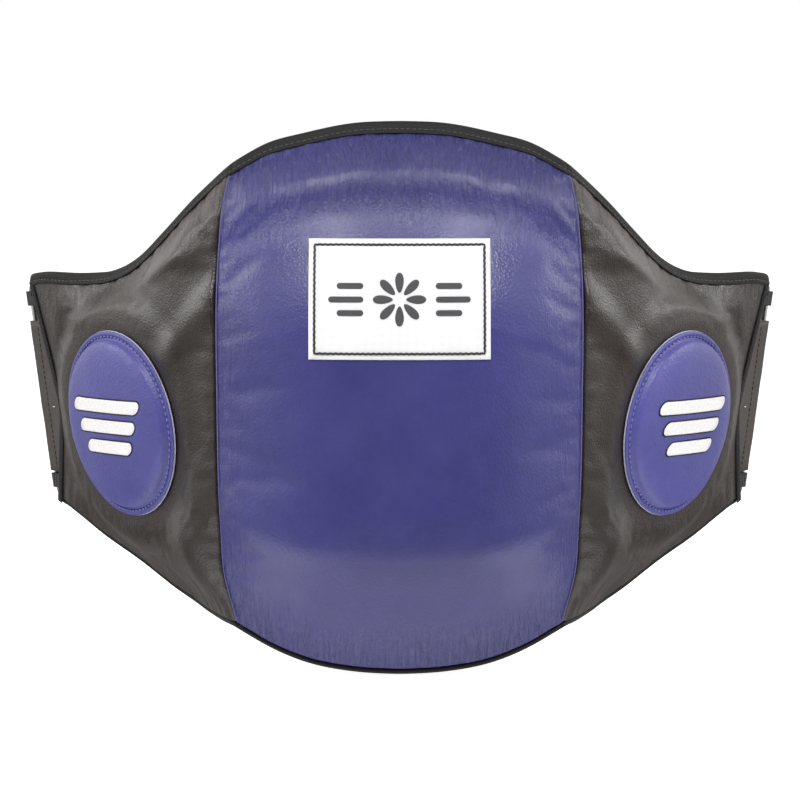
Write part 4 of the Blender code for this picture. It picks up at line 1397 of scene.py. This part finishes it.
def area_light(name, place, target, size, power):
    light = bpy.data.lights.new(name, "AREA")
    light.shape = "RECTANGLE"
    light.size, light.size_y = size
    light.energy = power
    lamp = new_object(name, light)
    lamp.location = place
    lamp.visible_camera = False
    lamp.rotation_euler = (Vector(target) - Vector(place)).to_track_quat("-Z", "Y").to_euler()
    return lamp


def make_world():
    """A white backdrop; a room dim in front, below and overhead lights the pad, with a floor glow."""
    world = bpy.data.worlds.new("studio")
    bpy.context.scene.world = world
    world.use_nodes = True
    nodes = Nodes(world.node_tree)
    axes = nodes.add("SeparateXYZ", {"Vector": nodes.add("TexCoord").outputs["Generated"]}).outputs

    def shaded(shades):
        """Product of some shades, with X alike on both sides."""
        total = None
        for axis, start, end, low, high in shades:
            value = nodes.math("ABSOLUTE", axes[axis]) if axis == "X" else axes[axis]
            shade = nodes.ramp(value, low, high, start, end, "SMOOTHSTEP")
            total = shade if total is None else nodes.math("MULTIPLY", total, shade)
        return total

    strength = nodes.math("ADD", shaded(ROOM_SHADES), shaded(FLOOR_GLOW))
    room = nodes.add("Background", {"Color": (1.0, 0.97, 0.95, 1), "Strength": strength})
    backdrop = world.node_tree.nodes["Background"]
    backdrop.inputs["Color"].default_value = (1, 1, 1, 1)
    seen = nodes.add("LightPath").outputs["Is Camera Ray"]
    choice = nodes.add("MixShader", {0: seen, 1: room.outputs[0], 2: backdrop.outputs[0]})
    nodes.link(choice.outputs["Shader"], world.node_tree.nodes["World Output"].inputs["Surface"])


def make_studio():
    """Camera, pale floor, world and lights."""
    scene = bpy.context.scene
    scene.view_settings.view_transform = "Standard"
    camera_data = bpy.data.cameras.new("camera")
    camera = new_object("camera", camera_data)
    back = Vector((0, -cos(CAMERA_ELEVATION), sin(CAMERA_ELEVATION)))
    camera.location = CAMERA_TARGET + back * CAMERA_DISTANCE
    camera.rotation_euler = (-back).to_track_quat("-Z", "Y").to_euler()
    camera_data.lens = CAMERA_LENS
    camera_data.shift_x, camera_data.shift_y = CAMERA_SHIFT
    scene.camera = camera

    corners = [(x * FLOOR_SIZE, y * FLOOR_SIZE, FLOOR_Z) for x, y in ((-1, -1), (1, -1), (1, 1), (-1, 1))]
    floor_mesh = bpy.data.meshes.new("floor")
    floor_mesh.from_pydata(corners, [], [(0, 1, 2, 3)])
    floor = new_object("floor", floor_mesh)
    paint = Recipe("pale_floor", (0.9, 0.9, 0.9), 0.9)
    paint.shades(paint.noise(2.0), 0.99, 1.01)
    paint.set(Emission_Color=(1, 1, 1, 1), Emission_Strength=0.75)
    floor_mesh.materials.append(paint.material)
    floor.visible_diffuse = False
    floor.visible_glossy = False
    floor.visible_shadow = False

    make_world()
    fill = area_light("low_fill_light", (0, -1.4, -1.5), (0, 0, -0.12), (2.0, 2.0), 26)
    fill.visible_glossy = False
    for side, name in SIDES:
        area_light(name + "_key_light", (side * 0.80, -1.5, 1.75), (0, 0, 0.05), (0.5, 0.9), 27)
        area_light(name + "_side_light", (side * 1.9, 0.15, 0.95), (side * 0.2, 0, 0), (0.7, 0.9), 10)
        low_place = (side * 0.95, -0.30, -0.95)
        area_light(name + "_low_light", low_place, (side * 0.12, -0.05, -0.13), (0.9, 0.8), 2.8)


# ---- assembly

def main():
    make_studio()
    centre_cover, centre_lining = make_centre()
    wings = {name: make_wing_body(side, name) for side, name in SIDES}
    run_cloth()

    subdivide(centre_cover)
    fasten(centre_cover, "centre_panel", "blue_leather", "centre_cover", "centre_impact_foam",
           "centre_core_foam", "centre_comfort_foam")
    fasten(centre_lining, "centre_panel", "lining_nylon", "centre_lining")
    for side, name in SIDES:
        wing = name + "_wing"
        cover, lining = wings[name]
        subdivide(cover)
        covered = [wing + part for part in ("_cover", "_foam", "_comfort_foam")]
        fasten(cover, wing, "black_leather", *covered, seam=side)
        fasten(lining, wing, "lining_nylon", wing + "_lining", seam=side)
        make_end_tape(side, name)
        make_disc(side, name)
        make_anchor(side, name)
        make_ring(side, name)
        make_strap(side, name)
    make_label(dome_samples(centre_cover))
    make_top_tape()
    make_bottom_piping()


main()
